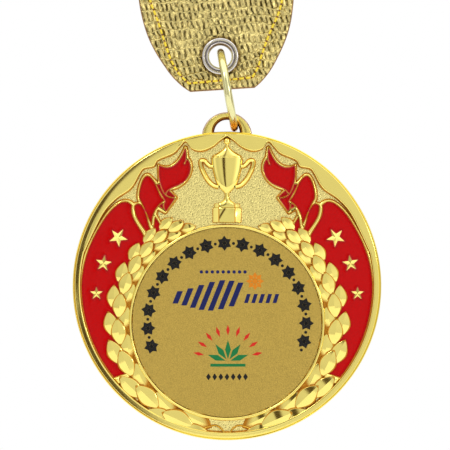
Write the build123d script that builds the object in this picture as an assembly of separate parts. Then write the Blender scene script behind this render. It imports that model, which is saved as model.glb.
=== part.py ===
"""Award medal on a folded neck strap: a die-cast, gold-plated medal with red enamel banners,
a printed insert, a round hanging link and a leathercloth strap with an eyelet.

Millimetres, +Z up. The medal hangs upright: its back face lies in the plane y = 0, its front
looks along -Y, and the origin is the centre of that back face.
"""

import os
from math import cos, pi, radians, sin

from build123d import *

# Medal ----------------------------------------------------------------------------------
medal_radius = 32.5
rim_height = 4.0  # every height is measured forward from the back face
pocket_floor = 2.6
field_height = 2.9
wall_height = 3.5
relief_height = 3.7
star_height = 3.6
rim_inner_radius = 30.9

# Enamel, insert and its adhesive ----------------------------------------------------------
enamel_height = 3.3
insert_radius = 19.9
insert_pocket_radius = 20.0
insert_ring_radius = 20.7
insert_drop = 7.7  # the insert sits this far below the medal's centre
adhesive_thickness = 0.15
insert_thickness = 0.7

# Hanging lug --------------------------------------------------------------------------------
lug_radius = 5.15
lug_centre_height = 31.25
lug_front, lug_back = 3.5, 0.5
lug_hole_front_radius, lug_hole_back_radius = 3.2, 2.7
lug_hole_floor = 32.35

# Round link -------------------------------------------------------------------------------
mid_plane = -2.0  # y of the plane that the lug, the link and the strap's end share
link_radius = 8.1  # to the middle of the wire
link_wire_radius = 0.8
link_lean = 10.3  # degrees, the top leans towards -X
link_centre = (0.1, mid_plane, 41.3)

# Strap and eyelet -------------------------------------------------------------------------
strap_width = 33.0
ply_thickness = 1.0
ply_gap = 0.1  # between the strap's two ends, which lie face to face
strap_lean = 3.7  # degrees, the top leans towards -X
eyelet_centre = (-1.41, mid_plane, 48.39)
tab_half_flat = 6.8
tab_reach = 7.05  # from the eyelet's centre down to the strap's end
eyelet_hole_radius = 2.35
eyelet_barrel_radius = 2.75
eyelet_flange_radius = 4.0
eyelet_flange_thickness = 0.45

# The strap's spare length is folded to and fro behind its end -----------------------------------
hank_bottom, hank_top = 16.0, 70.0  # heights above the eyelet, along the strap
hank_runs = 7
run_pitch = 2.8
tie_height = 44.0
tie_width = 12.0
tie_thickness = 0.7
tie_clearance = 0.15
tie_corner = 0.3  # inside radius

# Stitching --------------------------------------------------------------------------------
stitch_length = 1.05
stitch_gap = 0.35
thread_radius = 0.22

insert_centre = (0.0, -insert_drop)


def polar(centre, radius, angle):
    """A point in the face plane (x, z) at radius and angle in degrees about centre."""
    return (centre[0] + radius * cos(radians(angle)), centre[1] + radius * sin(radians(angle)))


def face_plane(height):
    """The plane parallel to the medal's back, this far in front of it."""
    return Plane(origin=(0, -height, 0), x_dir=(1, 0, 0), z_dir=(0, -1, 0))


def slab(sketch, low, high):
    """The sketch, drawn in (x, z), made solid between two heights over the back face."""
    return extrude(face_plane(low) * sketch, amount=high - low)


def stretch(points):
    """One stretch of an outline: a line, or a smooth curve through three or more points."""
    return Line(*points) if len(points) == 2 else Spline(*points)


def chain(start, stretches):
    """Edges that meet end to end; each stretch begins where the one before it ended."""
    edges = []
    for points in stretches:
        edges.append(stretch([start, *points]))
        start = points[-1]
    return edges


def outline(*stretches):
    """A closed face whose last stretch ends where its first one begins."""
    return make_face(chain(stretches[-1][-1], stretches))


def mirrored(points):
    return [(-x, z) for x, z in reversed(points)]


# ---------------------------------------------------------------------------------------
# Enamel cells of the right-hand banner; each outline ends at its own starting corner
# ---------------------------------------------------------------------------------------
panel_tip = polar((0, 0), 30.7, -39)
panel_inner_radius = 23.4  # about the insert's centre; the wreath's leaves cover this edge


def banner_cells():
    """Name and face of every cell of the right-hand banner."""
    foot = polar(insert_centre, panel_inner_radius, -27)
    head = polar(insert_centre, panel_inner_radius, 43)
    under_leaves = ThreePointArc(foot, polar(insert_centre, panel_inner_radius, 10), head)
    along_rim = ThreePointArc((30.7, 0), polar((0, 0), 30.7, -20), panel_tip)
    panel = make_face([
        Spline(head, (17.6, 10.7), (19.5, 13.9), (20.05, 17.0)),
        Spline((20.05, 17.0), (21.6, 17.75), (23.6, 16.7), (26.8, 12.6), (29.3, 7.4), (30.7, 0)),
        along_rim,
        Line(panel_tip, foot),
        under_leaves,
    ])
    return {
        "banner_head": outline(
            [(9.5, 27.2), (11.3, 25.2), (14.2, 25.3)],
            [(13.9, 21.3), (13.1, 19.5)],
            [(12.2, 20.4), (9.2, 21.9), (7.8, 24.4), (8.35, 26.6)],
            [(9.0, 25.6)],
            [(8.7, 27.4), (8.8, 28.9)],
        ),
        "fold_upper": outline(
            [(11.0, 18.8)],
            [(12.2, 18.8), (12.75, 19.3)],
            [(12.35, 20.1)],
        ),
        "crossing": outline(
            [(13.75, 20.1), (12.9, 18.95)],
            [(11.1, 18.35)],
            [(12.85, 15.8)],
            [(13.2, 17.0), (12.9, 17.8)],
            [(13.8, 19.4), (14.85, 21.3)],
            [(14.1, 21.3)],
        ),
        "fold_lower": outline([(13.45, 16.3)], [(14.3, 16.85)], [(13.6, 17.35)]),
        "banner_middle": outline(
            [(14.5, 20.1), (15.5, 22.2), (16.7, 23.2), (18.2, 21.1), (18.15, 17.9)],
            [(17.1, 15.5), (15.85, 12.8)],
            [(15.4, 15.4), (13.15, 18.0)],
        ),
        "banner_inner": outline(
            [(16.9, 14.7), (17.6, 16.5), (18.5, 17.3), (19.45, 16.9)],
            [(19.2, 14.9), (18.2, 13.0), (16.4, 10.5)],
            [(15.2, 10.9)],
        ),
        "banner_tail": outline([(14.3, 13.3), (13.3, 11.4)], [(15.4, 11.0)], [(15.35, 13.2), (15.1, 14.6)]),
        "panel": panel,
    }


def banner_plateau():
    """The raised gold ground of the right-hand banner: its cells with a narrow wall all round."""
    start = (12.8, 10.9)
    rim_side, rim_end = (31.4, 0), polar((0, 0), 31.4, -42)
    foot, head = polar(insert_centre, 22, -29), polar(insert_centre, 22, 60)
    edge = [
        [(14.0, 13.6), (14.8, 15.0)],
        [(14.6, 16.0)],
        [(12.95, 15.15)],
        [(10.45, 18.6)],
        [(11.85, 20.2)],
        [(9.0, 21.5), (7.35, 24.4), (8.1, 27.2)],
        [(8.4, 29.3)],
        [(8.9, 29.5)],
        [(9.9, 27.4), (11.5, 25.65), (14.6, 25.75)],
        [(14.5, 21.75)],
        [(15.4, 22.7), (16.7, 23.7), (18.6, 21.2), (18.6, 17.7)],
        [(19.6, 17.45)],
        [(21.6, 18.2), (23.9, 17.0), (27.1, 12.8), (29.8, 7.4), rim_side],
    ]
    return make_face([
        *chain(start, edge),
        ThreePointArc(rim_side, polar((0, 0), 31.4, -20), rim_end),
        Line(rim_end, foot),
        ThreePointArc(foot, polar(insert_centre, 22, 15), head),
        Line(head, start),
    ])


# ---------------------------------------------------------------------------------------
# Relief of the medal
# ---------------------------------------------------------------------------------------
# Leaves of the right-hand spray: distance from the insert's centre, lean outward of the
# spray's own direction, and the angles of the column's leaves, from the top down.
leaf_columns = [
    (21.5, -8, [67, 58, 49, 39, 28, 16, 2, -14, -32, -53, -72]),
    (22.9, 3, [62, 52, 42, 32, 21, 9, -5, -22, -43, -63]),
    (24.4, 12, [58, 48, 37, 25, 12.5, -1, -15, -34, -55, -73]),
]
leaf_top_angle, leaf_top_length, leaf_growth = 60.0, 3.8, 0.026
leaf_slimness = 0.44


def leaf(radius, angle, lean):
    """A pointed leaf between two arcs; leaves grow longer towards the foot of the spray."""
    length = leaf_top_length + leaf_growth * (leaf_top_angle - angle)
    middle = polar(insert_centre, radius, angle)
    heading = angle + 90 - lean
    tip, base = polar(middle, length / 2, heading), polar(middle, length / 2, heading + 180)
    half_width = leaf_slimness * length / 2
    sides = [polar(middle, half_width, heading + turn) for turn in (90, -90)]
    return make_face([ThreePointArc(base, sides[0], tip), ThreePointArc(tip, sides[1], base)])


def ring(centre, inner, outer):
    at = Location((*centre, 0))
    return at * Circle(outer) - at * Circle(inner)


def wreath():
    """The right-hand spray: its leaves over a narrow band that follows the insert."""
    leaves = [leaf(radius, angle, lean) for radius, lean, angles in leaf_columns for angle in angles]
    low, high = -78, 66
    band = make_face([
        ThreePointArc(*(polar(insert_centre, 23.4, a) for a in (low, 0, high))),
        Line(polar(insert_centre, 23.4, high), polar(insert_centre, 20.3, high)),
        ThreePointArc(*(polar(insert_centre, 20.3, a) for a in (high, 0, low))),
        Line(polar(insert_centre, 20.3, low), polar(insert_centre, 23.4, low)),
    ])
    return Sketch() + [band, *leaves]


# Stars: centre, radius to a point, and turn in degrees
stars = [((22.9, 10.2), 1.95, 31), ((26.0, 4.75), 1.7, 8), ((27.5, -1.6), 1.35, 0)]
star_waist = 0.4  # inner corners' radius as a share of the points' radius


def star(centre, radius, turn):
    corners = [
        polar(centre, radius * (star_waist if k % 2 else 1), 90 + turn + 36 * k) for k in range(10)
    ]
    return make_face(Polyline(*corners, close=True))


# The rim's inner edge on the right: cloud-like scallops round the top, then a plain circle
scallops = [
    (0, 31.6), (1.5, 30.6), (3.1, 29.3), (5.4, 28.45), (7.4, 28.9), (8.7, 30.4), (9.9, 29.3),
    (11.3, 27.9), (14.5, 26.5), (15.4, 25.2), (17.5, 24.7), (18.4, 23.6), (20.2, 20.6),
    (23.6, 18.1), (26.4, 14.7), (30.1, 7.0),
]


def rim_opening():
    """The face inside the rim."""
    end = scallops[-1]
    return make_face([
        Spline(*mirrored(scallops), *scallops[1:]),
        ThreePointArc(end, (0, -rim_inner_radius), (-end[0], end[1])),
    ])


def trophy():
    """Silhouette of the lidded cup on its plinth."""
    half = [
        (0.35, 29.9), (0.9, 28.9), (3.1, 27.6), (3.2, 26.9), (2.9, 24.0), (1.9, 21.2), (0.6, 19.6),
        (0.55, 18.9), (1.5, 17.4), (2.9, 17.2), (2.9, 13.4),
    ]
    body = make_face(Polyline(*half, *mirrored(half), close=True))
    knob = Location((0, 30.5, 0)) * Circle(0.7)
    outer = Spline((2.9, 26.4), (4.6, 26.9), (5.9, 26.3), (4.6, 22.8), (1.8, 20.5))
    inner = Spline((2.2, 21.5), (4.1, 23.2), (5.0, 25.9), (4.2, 26.1), (2.9, 25.7))
    handle = make_face([outer, Line((1.8, 20.5), (2.2, 21.5)), inner, Line((2.9, 25.7), (2.9, 26.4))])
    return Sketch() + [body, knob, handle, mirror(handle, about=Plane.YZ)]


def both_sides(sketch):
    return Sketch() + [sketch, mirror(sketch, about=Plane.YZ)]


def half_disc(radius):
    """Half a disc that stands on the floor of the lug's hole."""
    left, top, right = (-radius, lug_hole_floor), (0, lug_hole_floor + radius), (radius, lug_hole_floor)
    return make_face([ThreePointArc(left, top, right), Line(right, left)])


def lug():
    """Half-round ear on the rim, with a half-round hole that is drafted towards the back."""
    ear = Location((0, lug_centre_height, 0)) * Circle(lug_radius) - Circle(rim_inner_radius + 1)
    hole = loft([
        face_plane(lug_back) * half_disc(lug_hole_back_radius),
        face_plane(lug_front) * half_disc(lug_hole_front_radius),
    ])
    return slab(ear, lug_back, lug_front) - hole


def medal_casting(cells, stars_face, wreath_face):
    """The cast body: plate, rim, lug, cloison walls, wreath, trophy and stars."""
    insert_at = Location((*insert_centre, 0))
    pockets = Sketch() + [*cells, insert_at * Circle(insert_pocket_radius)]
    opening = rim_opening()
    plate = slab(Circle(medal_radius), 0, pocket_floor)
    field = slab(Circle(medal_radius) - pockets, pocket_floor, field_height)
    walls = slab(both_sides(banner_plateau()) - pockets, pocket_floor, wall_height)
    around_insert = ring(insert_centre, insert_pocket_radius, insert_ring_radius)
    insert_ring = slab(around_insert, pocket_floor, relief_height)
    spray = wreath_face & Circle(medal_radius - 0.5)
    spray = slab(spray - insert_at * Circle(insert_pocket_radius), pocket_floor, relief_height)
    cup = slab(trophy(), pocket_floor, relief_height)
    star_posts = slab(stars_face, pocket_floor, star_height)
    rim = slab(Circle(medal_radius) - opening, pocket_floor, rim_height)
    casting = plate
    for layer in (field, walls, insert_ring, spray, cup, star_posts, rim, lug()):
        casting = casting + layer
    return casting


# ---------------------------------------------------------------------------------------
# Link, eyelet and strap
# ---------------------------------------------------------------------------------------
def hanging_link():
    """A round wire ring that stands square to the medal, its top leaning with the strap."""
    lean = radians(link_lean)
    across = Vector(cos(lean), 0, sin(lean))
    return Plane(origin=link_centre, x_dir=(0, 1, 0), z_dir=across) * Torus(link_radius, link_wire_radius)


# The strap's own frame: x across it, y up along it and z towards the front, from the eyelet
strap_plane = Plane(
    origin=eyelet_centre,
    x_dir=(cos(radians(strap_lean)), 0, sin(radians(strap_lean))),
    z_dir=(0, -1, 0),
)


def tab_outline():
    """The strap's rounded end, up to its full width."""
    side = [
        (tab_half_flat, -tab_reach), (8.4, -5.8), (10.4, -3.6), (12.2, -0.8), (14.0, 2.6), (15.3, 6.2),
        (16.2, 10.8), (strap_width / 2, 15.0),
    ]
    left = mirrored(side)
    return make_face([
        Line(left[-1], side[0]),
        Spline(*side, tangents=((1, 0.45), (0, 1))),
        Line(side[-1], left[0]),
        Spline(*left, tangents=((0, -1), (1, -0.45))),
    ])


def hank_rail(shift):
    """The folded strap's side view, moved sideways by shift from its middle line.

    Returns the edges from the strap's end upward; x is depth behind the end and y is height.
    """
    edges = []
    bottom, top = hank_bottom, hank_top
    for k in range(hank_runs):
        depth = k * run_pitch
        upward = k % 2 == 0
        side = depth - shift if upward else depth + shift
        start = -tab_reach if k == 0 else (bottom if upward else top)
        finish = top if upward else bottom
        edges.append(Line((side, start), (side, finish)))
        if k == hank_runs - 1:
            break
        fold = run_pitch / 2 + (shift if upward else -shift)
        crown = finish + fold if upward else finish - fold
        middle = depth + run_pitch / 2
        edges.append(ThreePointArc((side, finish), (middle, crown), (middle + fold, finish)))
    return edges


def rail_length(shift):
    return sum(edge.length for edge in hank_rail(shift))


def strap_side_view():
    """Side view of the whole strap: two plies face to face, joined round the last fold."""
    full, slot = ply_thickness + ply_gap / 2, ply_gap / 2
    last = (hank_runs - 1) * run_pitch
    outer = [
        *hank_rail(full), *hank_rail(-full),
        Line((-full, -tab_reach), (full, -tab_reach)),
        ThreePointArc((last - full, hank_top), (last, hank_top + full), (last + full, hank_top)),
    ]
    inner = [
        *hank_rail(slot), *hank_rail(-slot),
        Line((-slot, -tab_reach), (slot, -tab_reach)),
        ThreePointArc((last - slot, hank_top), (last, hank_top + slot), (last + slot, hank_top)),
    ]
    return make_face(outer) - make_face(inner)


def neck_strap():
    """The strap in its own frame: folded band, cut to the end's outline, with the eyelet's hole."""
    side_plane = Plane(origin=(-strap_width / 2, 0, 0), x_dir=(0, 0, -1), z_dir=(1, 0, 0))
    band = extrude(side_plane * strap_side_view(), amount=strap_width)
    tab = extrude(Plane.XY.offset(-3) * tab_outline(), amount=6)
    above = Pos(0, hank_bottom - 1.1, 0) * Box(
        2 * strap_width, 200, 100, align=(Align.CENTER, Align.MIN, Align.CENTER)
    )
    behind = Pos(0, 0, -run_pitch / 2 - 0.05) * Box(
        2 * strap_width, 200, 100, align=(Align.CENTER, Align.MIN, Align.MAX)
    )
    return (band & tab) + (band & above) + (band & behind) - Cylinder(eyelet_barrel_radius, 10)


def eyelet():
    """Front half of the eyelet: its barrel and the flange on the strap's face."""
    face = ply_thickness + ply_gap / 2
    low = -face - eyelet_flange_thickness
    barrel_height = face - low
    barrel = Pos(0, 0, low) * Cylinder(
        eyelet_barrel_radius, barrel_height, align=(Align.CENTER, Align.CENTER, Align.MIN)
    )
    flange = Pos(0, 0, face) * Cylinder(
        eyelet_flange_radius, eyelet_flange_thickness, align=(Align.CENTER, Align.CENTER, Align.MIN)
    )
    rounded = fillet(flange.edges().sort_by(Axis.Z)[-1], eyelet_flange_thickness * 0.8)
    return (barrel + rounded) - Cylinder(eyelet_hole_radius, 20)


def eyelet_washer():
    """The washer that the barrel is rolled over, on the strap's back."""
    face = ply_thickness + ply_gap / 2
    flange = Pos(0, 0, -face) * Cylinder(
        eyelet_flange_radius, eyelet_flange_thickness, align=(Align.CENTER, Align.CENTER, Align.MAX)
    )
    return flange - Cylinder(eyelet_barrel_radius, 20)


def strap_tie():
    """The band round the folded strap that keeps its spare length together."""
    depth = (hank_runs - 1) * run_pitch
    half = ply_thickness + ply_gap / 2 + tie_clearance
    middle = Location((0, -depth / 2, 0))
    width, length = strap_width + 2 * tie_clearance, depth + 2 * half
    inner = middle * RectangleRounded(width, length, tie_corner)
    outer = middle * RectangleRounded(
        width + 2 * tie_thickness, length + 2 * tie_thickness, tie_corner + tie_thickness
    )
    # a level plane whose y runs from the strap's back to its front
    level = Plane(origin=(0, tie_height - tie_width / 2, 0), x_dir=(-1, 0, 0), z_dir=(0, 1, 0))
    return extrude(level * (outer - inner), amount=tie_width)


# The seam's route over the strap's end, in the strap's own frame
seam_left = [
    (-7.0, -5.3), (-8.9, -3.1), (-10.5, 0.1), (-11.5, 3.7), (-12.5, 7.6), (-14.0, 12.8), (-14.1, 15.5),
]
seam_right = [
    (6.4, -4.9), (7.8, -2.8), (8.6, -0.6), (10.6, 4.0), (12.9, 8.4), (14.0, 12.4), (14.1, 15.5),
]


def stitching():
    """Separate stitches round the strap's end, front and back, each a short round rod."""
    face = ply_thickness + ply_gap / 2
    routes = [
        Line(seam_left[0], seam_right[0]),
        Spline(*seam_left),
        Spline(*seam_right),
    ]
    stitches = []
    for route in routes:
        count = int(route.length // (stitch_length + stitch_gap))
        for k in range(count):
            middle = route @ ((k + 0.5) / count)
            run = route % ((k + 0.5) / count)
            for side in (1, -1):
                on_cloth = (middle.X, middle.Y, side * (face + thread_radius))
                along = Plane(origin=on_cloth, z_dir=(run.X, run.Y, 0))
                stitches.append(along * Cylinder(thread_radius, stitch_length))
    return stitches


def in_strap(shape):
    """Place a shape from the strap's own frame into the object's."""
    return strap_plane * shape


# ---------------------------------------------------------------------------------------
# Build and write every piece
# ---------------------------------------------------------------------------------------
def build():
    right = banner_cells()
    wreath_face = both_sides(wreath())
    stars_face = both_sides(Sketch() + [star(*place) for place in stars])
    cells = {}
    for name, face in right.items():
        cells[f"enamel_right_{name}"] = face
        cells[f"enamel_left_{name}"] = mirror(face, about=Plane.YZ)
    insert_at = Location((*insert_centre, 0))
    adhesive_top = pocket_floor + adhesive_thickness
    disc = insert_at * Circle(insert_radius)
    parts = {
        "medal_casting": medal_casting(list(cells.values()), stars_face, wreath_face),
        "insert_adhesive": slab(disc, pocket_floor, adhesive_top),
        "insert_disc": slab(disc, adhesive_top, adhesive_top + insert_thickness),
        "hanging_link": hanging_link(),
        "eyelet": in_strap(eyelet()),
        "eyelet_washer": in_strap(eyelet_washer()),
        "neck_strap": in_strap(neck_strap()),
        "strap_tie": in_strap(strap_tie()),
        "strap_stitching": Compound([in_strap(stitch) for stitch in stitching()]),
    }
    for name, face in cells.items():
        parts[name] = slab(face - wreath_face - stars_face, pocket_floor, enamel_height)
    return parts


os.makedirs("parts", exist_ok=True)
for name, shape in build().items():
    export_step(shape, f"parts/{name}.step")
print("strap length", round(2 * rail_length(0) + pi * ply_thickness))
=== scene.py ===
"""Award medal on a folded neck strap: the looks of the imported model's pieces.

Metres in Blender. Sizes that describe an outline are given in millimetres, in the medal's face
(x across, z up, height forward of its back) or in the strap's own frame (across, up, forward of
its middle, from the eyelet's centre).
"""

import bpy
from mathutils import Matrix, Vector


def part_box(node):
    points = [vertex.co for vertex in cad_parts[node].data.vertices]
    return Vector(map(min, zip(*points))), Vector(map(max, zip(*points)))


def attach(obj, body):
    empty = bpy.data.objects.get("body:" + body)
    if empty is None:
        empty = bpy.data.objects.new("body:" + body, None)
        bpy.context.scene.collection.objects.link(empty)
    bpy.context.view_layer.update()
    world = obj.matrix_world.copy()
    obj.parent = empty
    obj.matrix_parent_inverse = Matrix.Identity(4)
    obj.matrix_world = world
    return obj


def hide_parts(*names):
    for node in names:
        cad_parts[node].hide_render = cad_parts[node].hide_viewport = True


bl_info = {
    "name": "Award Medal",
    "version": (1, 0, 0),
    "blender": (4, 5, 0),
    "location": "View3D > Sidebar > Medal",
    "description": "Builds a gold-plated award medal with its wreath, cup, enamel, insert, link and strap",
    "category": "Object",
}

from math import atan2, cos, degrees, exp, floor, hypot, pi, radians, sin

import bmesh
import bpy
from bpy.props import FloatProperty, FloatVectorProperty, PointerProperty
from bpy.types import Operator, Panel, PropertyGroup
from mathutils import Vector
from mathutils.geometry import delaunay_2d_cdt
from mathutils.kdtree import KDTree

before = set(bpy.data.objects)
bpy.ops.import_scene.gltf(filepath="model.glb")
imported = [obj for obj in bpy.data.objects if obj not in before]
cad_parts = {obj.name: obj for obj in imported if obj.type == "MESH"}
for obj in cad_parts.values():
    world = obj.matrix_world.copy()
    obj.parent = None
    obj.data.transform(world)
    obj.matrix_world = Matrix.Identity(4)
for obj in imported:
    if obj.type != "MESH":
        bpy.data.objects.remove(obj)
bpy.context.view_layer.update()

MM = 0.001


# ----------------------------------------------------------------------------------------
# Where things are
# ----------------------------------------------------------------------------------------
def middle(node):
    low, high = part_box(node)
    return (low + high) / 2


def face_height(node):
    """How far a node's front stands before the medal's back, in millimetres."""
    return -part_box(node)[0].y / MM


MEDAL_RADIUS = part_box("medal_casting")[1].x / MM
RIM_HEIGHT = face_height("medal_casting")
FIELD_HEIGHT = 2.9
ENAMEL_HEIGHT = face_height("enamel_right_panel")
INSERT_CENTRE = (0.0, middle("insert_disc").z / MM)
INSERT_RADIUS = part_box("insert_disc")[1].x / MM
INSERT_HEIGHT = face_height("insert_disc")
INSERT_THICKNESS = 0.7

STRAP_LEAN = radians(3.7)
LINK_LEAN = radians(10.3)
EYELET_CENTRE = middle("eyelet")
STRAP_ACROSS = Vector((cos(STRAP_LEAN), 0, sin(STRAP_LEAN)))
STRAP_UP = Vector((-sin(STRAP_LEAN), 0, cos(STRAP_LEAN)))
TOWARDS_FRONT = Vector((0, -1, 0))


def on_face(x, z, height):
    """A point of the medal, from millimetres across, up and forward of its back."""
    return Vector((x, -height, z)) * MM


def on_strap(across, up, forward):
    """A point of the strap, from millimetres across it, up along it and forward of its middle."""
    return EYELET_CENTRE + (STRAP_ACROSS * across + STRAP_UP * up + TOWARDS_FRONT * forward) * MM


def polar(centre, radius, angle):
    return (centre[0] + radius * cos(radians(angle)), centre[1] + radius * sin(radians(angle)))


# ----------------------------------------------------------------------------------------
# Sizes and colours that a user may change
# ----------------------------------------------------------------------------------------
def size(name, description, default):
    return FloatProperty(
        name=name, description=description, default=default, unit="LENGTH", precision=5
    )


def colour(name, description, default):
    return FloatVectorProperty(
        name=name, description=description, default=default, subtype="COLOR", size=3, min=0, max=1
    )


class MedalSizes(PropertyGroup):
    bead_width: size("Bead width", "Width of the bead round the rim's outer edge", 0.00028)
    wall_height: size("Wall height", "Height of the enamel's walls over the medal's back", 0.0036)
    meniscus: size("Meniscus", "How far the enamel climbs the walls that hold it", 0.00016)
    leaf_ridge: size("Leaf ridge", "Height of the upper leaves' ridges over the medal's back", 0.0040)
    cup_bulge: size("Cup bulge", "How far the cup swells over the field", 0.0012)
    star_rise: size("Star rise", "Height of a star's middle over its edge", 0.0005)


class StrapSizes(PropertyGroup):
    stitch_pitch: size("Stitch pitch", "Distance from one needle hole to the next", 0.0014)
    thread_radius: size("Thread radius", "Half the thickness of the sewing thread", 0.00023)
    tie_thickness: size("Tie thickness", "Thickness of the band round the folded strap", 0.0007)
    cell_width: size("Cell width", "Width of one cell of the strap's embossing", 0.0011)
    cell_length: size("Cell length", "Length of one cell of the strap's embossing", 0.0019)


class Colours(PropertyGroup):
    gold: colour("Gold", "Bright plating", (0.95, 0.79, 0.21))
    # painted shade: the deeper, duller colour given to the foot of the relief
    painted_foot_shade: colour("Deep gold", "Plating at the foot of the relief", (0.44, 0.17, 0.012))
    # painted shade: the copper-brown lines round the relief's leaves and walls
    line_gold: colour("Line gold", "Copper-toned plating along the relief's outlines", (0.50, 0.225, 0.02))
    field_gold: colour("Field gold", "Sandblasted ground", (0.93, 0.79, 0.285))
    insert_gold: colour("Insert gold", "Printed disc", (0.40, 0.275, 0.054))
    wire_gold: colour("Wire gold", "Hanging link", (0.82, 0.78, 0.40))
    enamel: colour("Enamel", "Banners", (0.46, 0.0015, 0.002))
    leathercloth: colour("Leathercloth", "Strap's coated face", (1.0, 0.82, 0.31))
    cut_edge: colour("Cut edge", "Strap's cut edge", (0.36, 0.19, 0.06))
    thread: colour("Thread", "Sewing thread", (0.92, 0.70, 0.04))
    nickel: colour("Nickel", "Eyelet", (0.70, 0.66, 0.63))


# ----------------------------------------------------------------------------------------
# Shader values as Python expressions
# ----------------------------------------------------------------------------------------
class Value:
    """A socket that gives a shader value; arithmetic on it adds Math nodes."""

    def __init__(self, recipe, socket):
        self.recipe, self.socket = recipe, socket

    def other(self, output):
        return Value(self.recipe, self.socket.node.outputs[output])

    def __add__(self, other):
        return self.recipe.math("ADD", self, other)

    def __radd__(self, other):
        return self.recipe.math("ADD", other, self)

    def __sub__(self, other):
        return self.recipe.math("SUBTRACT", self, other)

    def __rsub__(self, other):
        return self.recipe.math("SUBTRACT", other, self)

    def __mul__(self, other):
        return self.recipe.math("MULTIPLY", self, other)

    def __rmul__(self, other):
        return self.recipe.math("MULTIPLY", other, self)

    def __truediv__(self, other):
        return self.recipe.math("DIVIDE", self, other)

    def __neg__(self):
        return self.recipe.math("MULTIPLY", self, -1.0)

    def __abs__(self):
        return self.recipe.math("ABSOLUTE", self)

    def __floor__(self):
        return self.recipe.math("FLOOR", self)

    def sine(self):
        return self.recipe.math("SINE", self)

    def root(self):
        return self.recipe.math("SQRT", self)


class Recipe:
    """Adds the nodes of one finish or of the room's light."""

    def __init__(self, tree):
        self.tree = tree
        tree.nodes.clear()

    def node(self, kind, settings=None, sockets=None, output=0):
        """One node: its settings come first, then its sockets' values and links."""
        made = self.tree.nodes.new(kind)
        for key, setting in (settings or {}).items():
            setattr(made, key, setting)
        for key, given in (sockets or {}).items():
            if isinstance(given, Value):
                self.tree.links.new(given.socket, made.inputs[key])
            else:
                made.inputs[key].default_value = given
        return Value(self, made.outputs[output]) if made.outputs else None

    def math(self, operation, first, second=0.0):
        return self.node("ShaderNodeMath", {"operation": operation}, {0: first, 1: second})

    def mark(self, name):
        """A value that the piece's points carry under that name."""
        return self.node("ShaderNodeAttribute", {"attribute_name": name}, output="Fac")

    def place(self):
        return self.node("ShaderNodeTexCoord", output="Object")

    def lay(self):
        """Place on the piece's flat cloth, in metres: x across it, y along it."""
        return self.node("ShaderNodeUVMap", {"uv_map": "lay"})

    def axes(self, vector):
        x = self.node("ShaderNodeSeparateXYZ", sockets={0: vector})
        return x, x.other("Y"), x.other("Z")

    def stretched(self, vector, factors):
        return self.node("ShaderNodeVectorMath", {"operation": "MULTIPLY"}, {0: vector, 1: factors})

    def moved(self, vector, by):
        return self.node("ShaderNodeVectorMath", {"operation": "ADD"}, {0: vector, 1: by})

    def ease(self, value, low, high):
        """Rises smoothly from 0 at low to 1 at high."""
        return self.node(
            "ShaderNodeMapRange", {"interpolation_type": "SMOOTHSTEP"}, {0: value, 1: low, 2: high}
        )

    def hill(self, value, centre, half_width):
        """1 at the centre, falling smoothly to 0 at half_width to either side."""
        return self.ease(abs(value - centre), half_width, 0.0)

    def noise(self, vector, grain, detail=2.0):
        """Soft random values from 0 to 1 whose lumps are about one grain across."""
        sockets = {"Vector": vector, "Scale": 1 / grain, "Detail": detail}
        return self.node("ShaderNodeTexNoise", sockets=sockets)

    def pits(self, vector, grain):
        """Distance to the nearest of scattered points that are about one grain apart."""
        return self.node("ShaderNodeTexVoronoi", sockets={"Vector": vector, "Scale": 1 / grain})

    def mix(self, factor, first, second):
        """Mixes two colours, given as values or as plain triples."""
        first, second = (c if isinstance(c, Value) else (*c, 1.0) for c in (first, second))
        return self.node("ShaderNodeMix", {"data_type": "RGBA"}, {0: factor, 6: first, 7: second}, output=2)

    def bump(self, height, distance, strength=1.0):
        sockets = {"Height": height, "Distance": distance, "Strength": strength}
        return self.node("ShaderNodeBump", sockets=sockets)


def finish(name, paint):
    """The material of that name, made once; paint(recipe) gives its shader's sockets."""
    name = f"{name}_finish"
    material = bpy.data.materials.get(name)
    if material is None:
        material = bpy.data.materials.new(name)
        material.use_nodes = True
        recipe = Recipe(material.node_tree)
        shader = recipe.node("ShaderNodeBsdfPrincipled", sockets=paint(recipe))
        recipe.node("ShaderNodeOutputMaterial", sockets={"Surface": shader})
    return material


def palette(name):
    """One of the colours that a user may change."""
    return tuple(getattr(bpy.context.scene.medal_colours, name))


def shade(colour, factor):
    """The colour, made darker or brighter."""
    return tuple(min(1.0, channel * factor) for channel in colour)


# ----------------------------------------------------------------------------------------
# Finishes
# ----------------------------------------------------------------------------------------
def cast_gold():
    """Bright plating over a polished casting, with painted shade (deeper and duller) at the foot of the
    relief.
    """

    def paint(recipe):
        place = recipe.place()
        depth = recipe.axes(place)[1]
        raised = recipe.ease(depth, -0.00312, -0.0034)
        cloud = recipe.noise(place, 0.004)
        tone = recipe.mix(cloud * 0.35, palette("gold"), shade(palette("gold"), 0.86))
        # painted shade: the lower sides of the relief, just over the field, turn deeper and duller
        front = recipe.ease(depth, -0.0028, -0.0029)
        foot = front - front * raised
        fine = recipe.noise(place, 0.0002, 3.0)
        return {
            "Base Color": recipe.mix(foot, tone, palette("painted_foot_shade")),
            "Metallic": 1.0 - 0.45 * foot,
            "Roughness": 0.07 + 0.05 * cloud + 0.28 * foot,
            "Specular IOR Level": 0.1,
            "Normal": recipe.bump(fine, 0.000002, 0.6),
        }

    return finish("cast_gold", paint)


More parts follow.
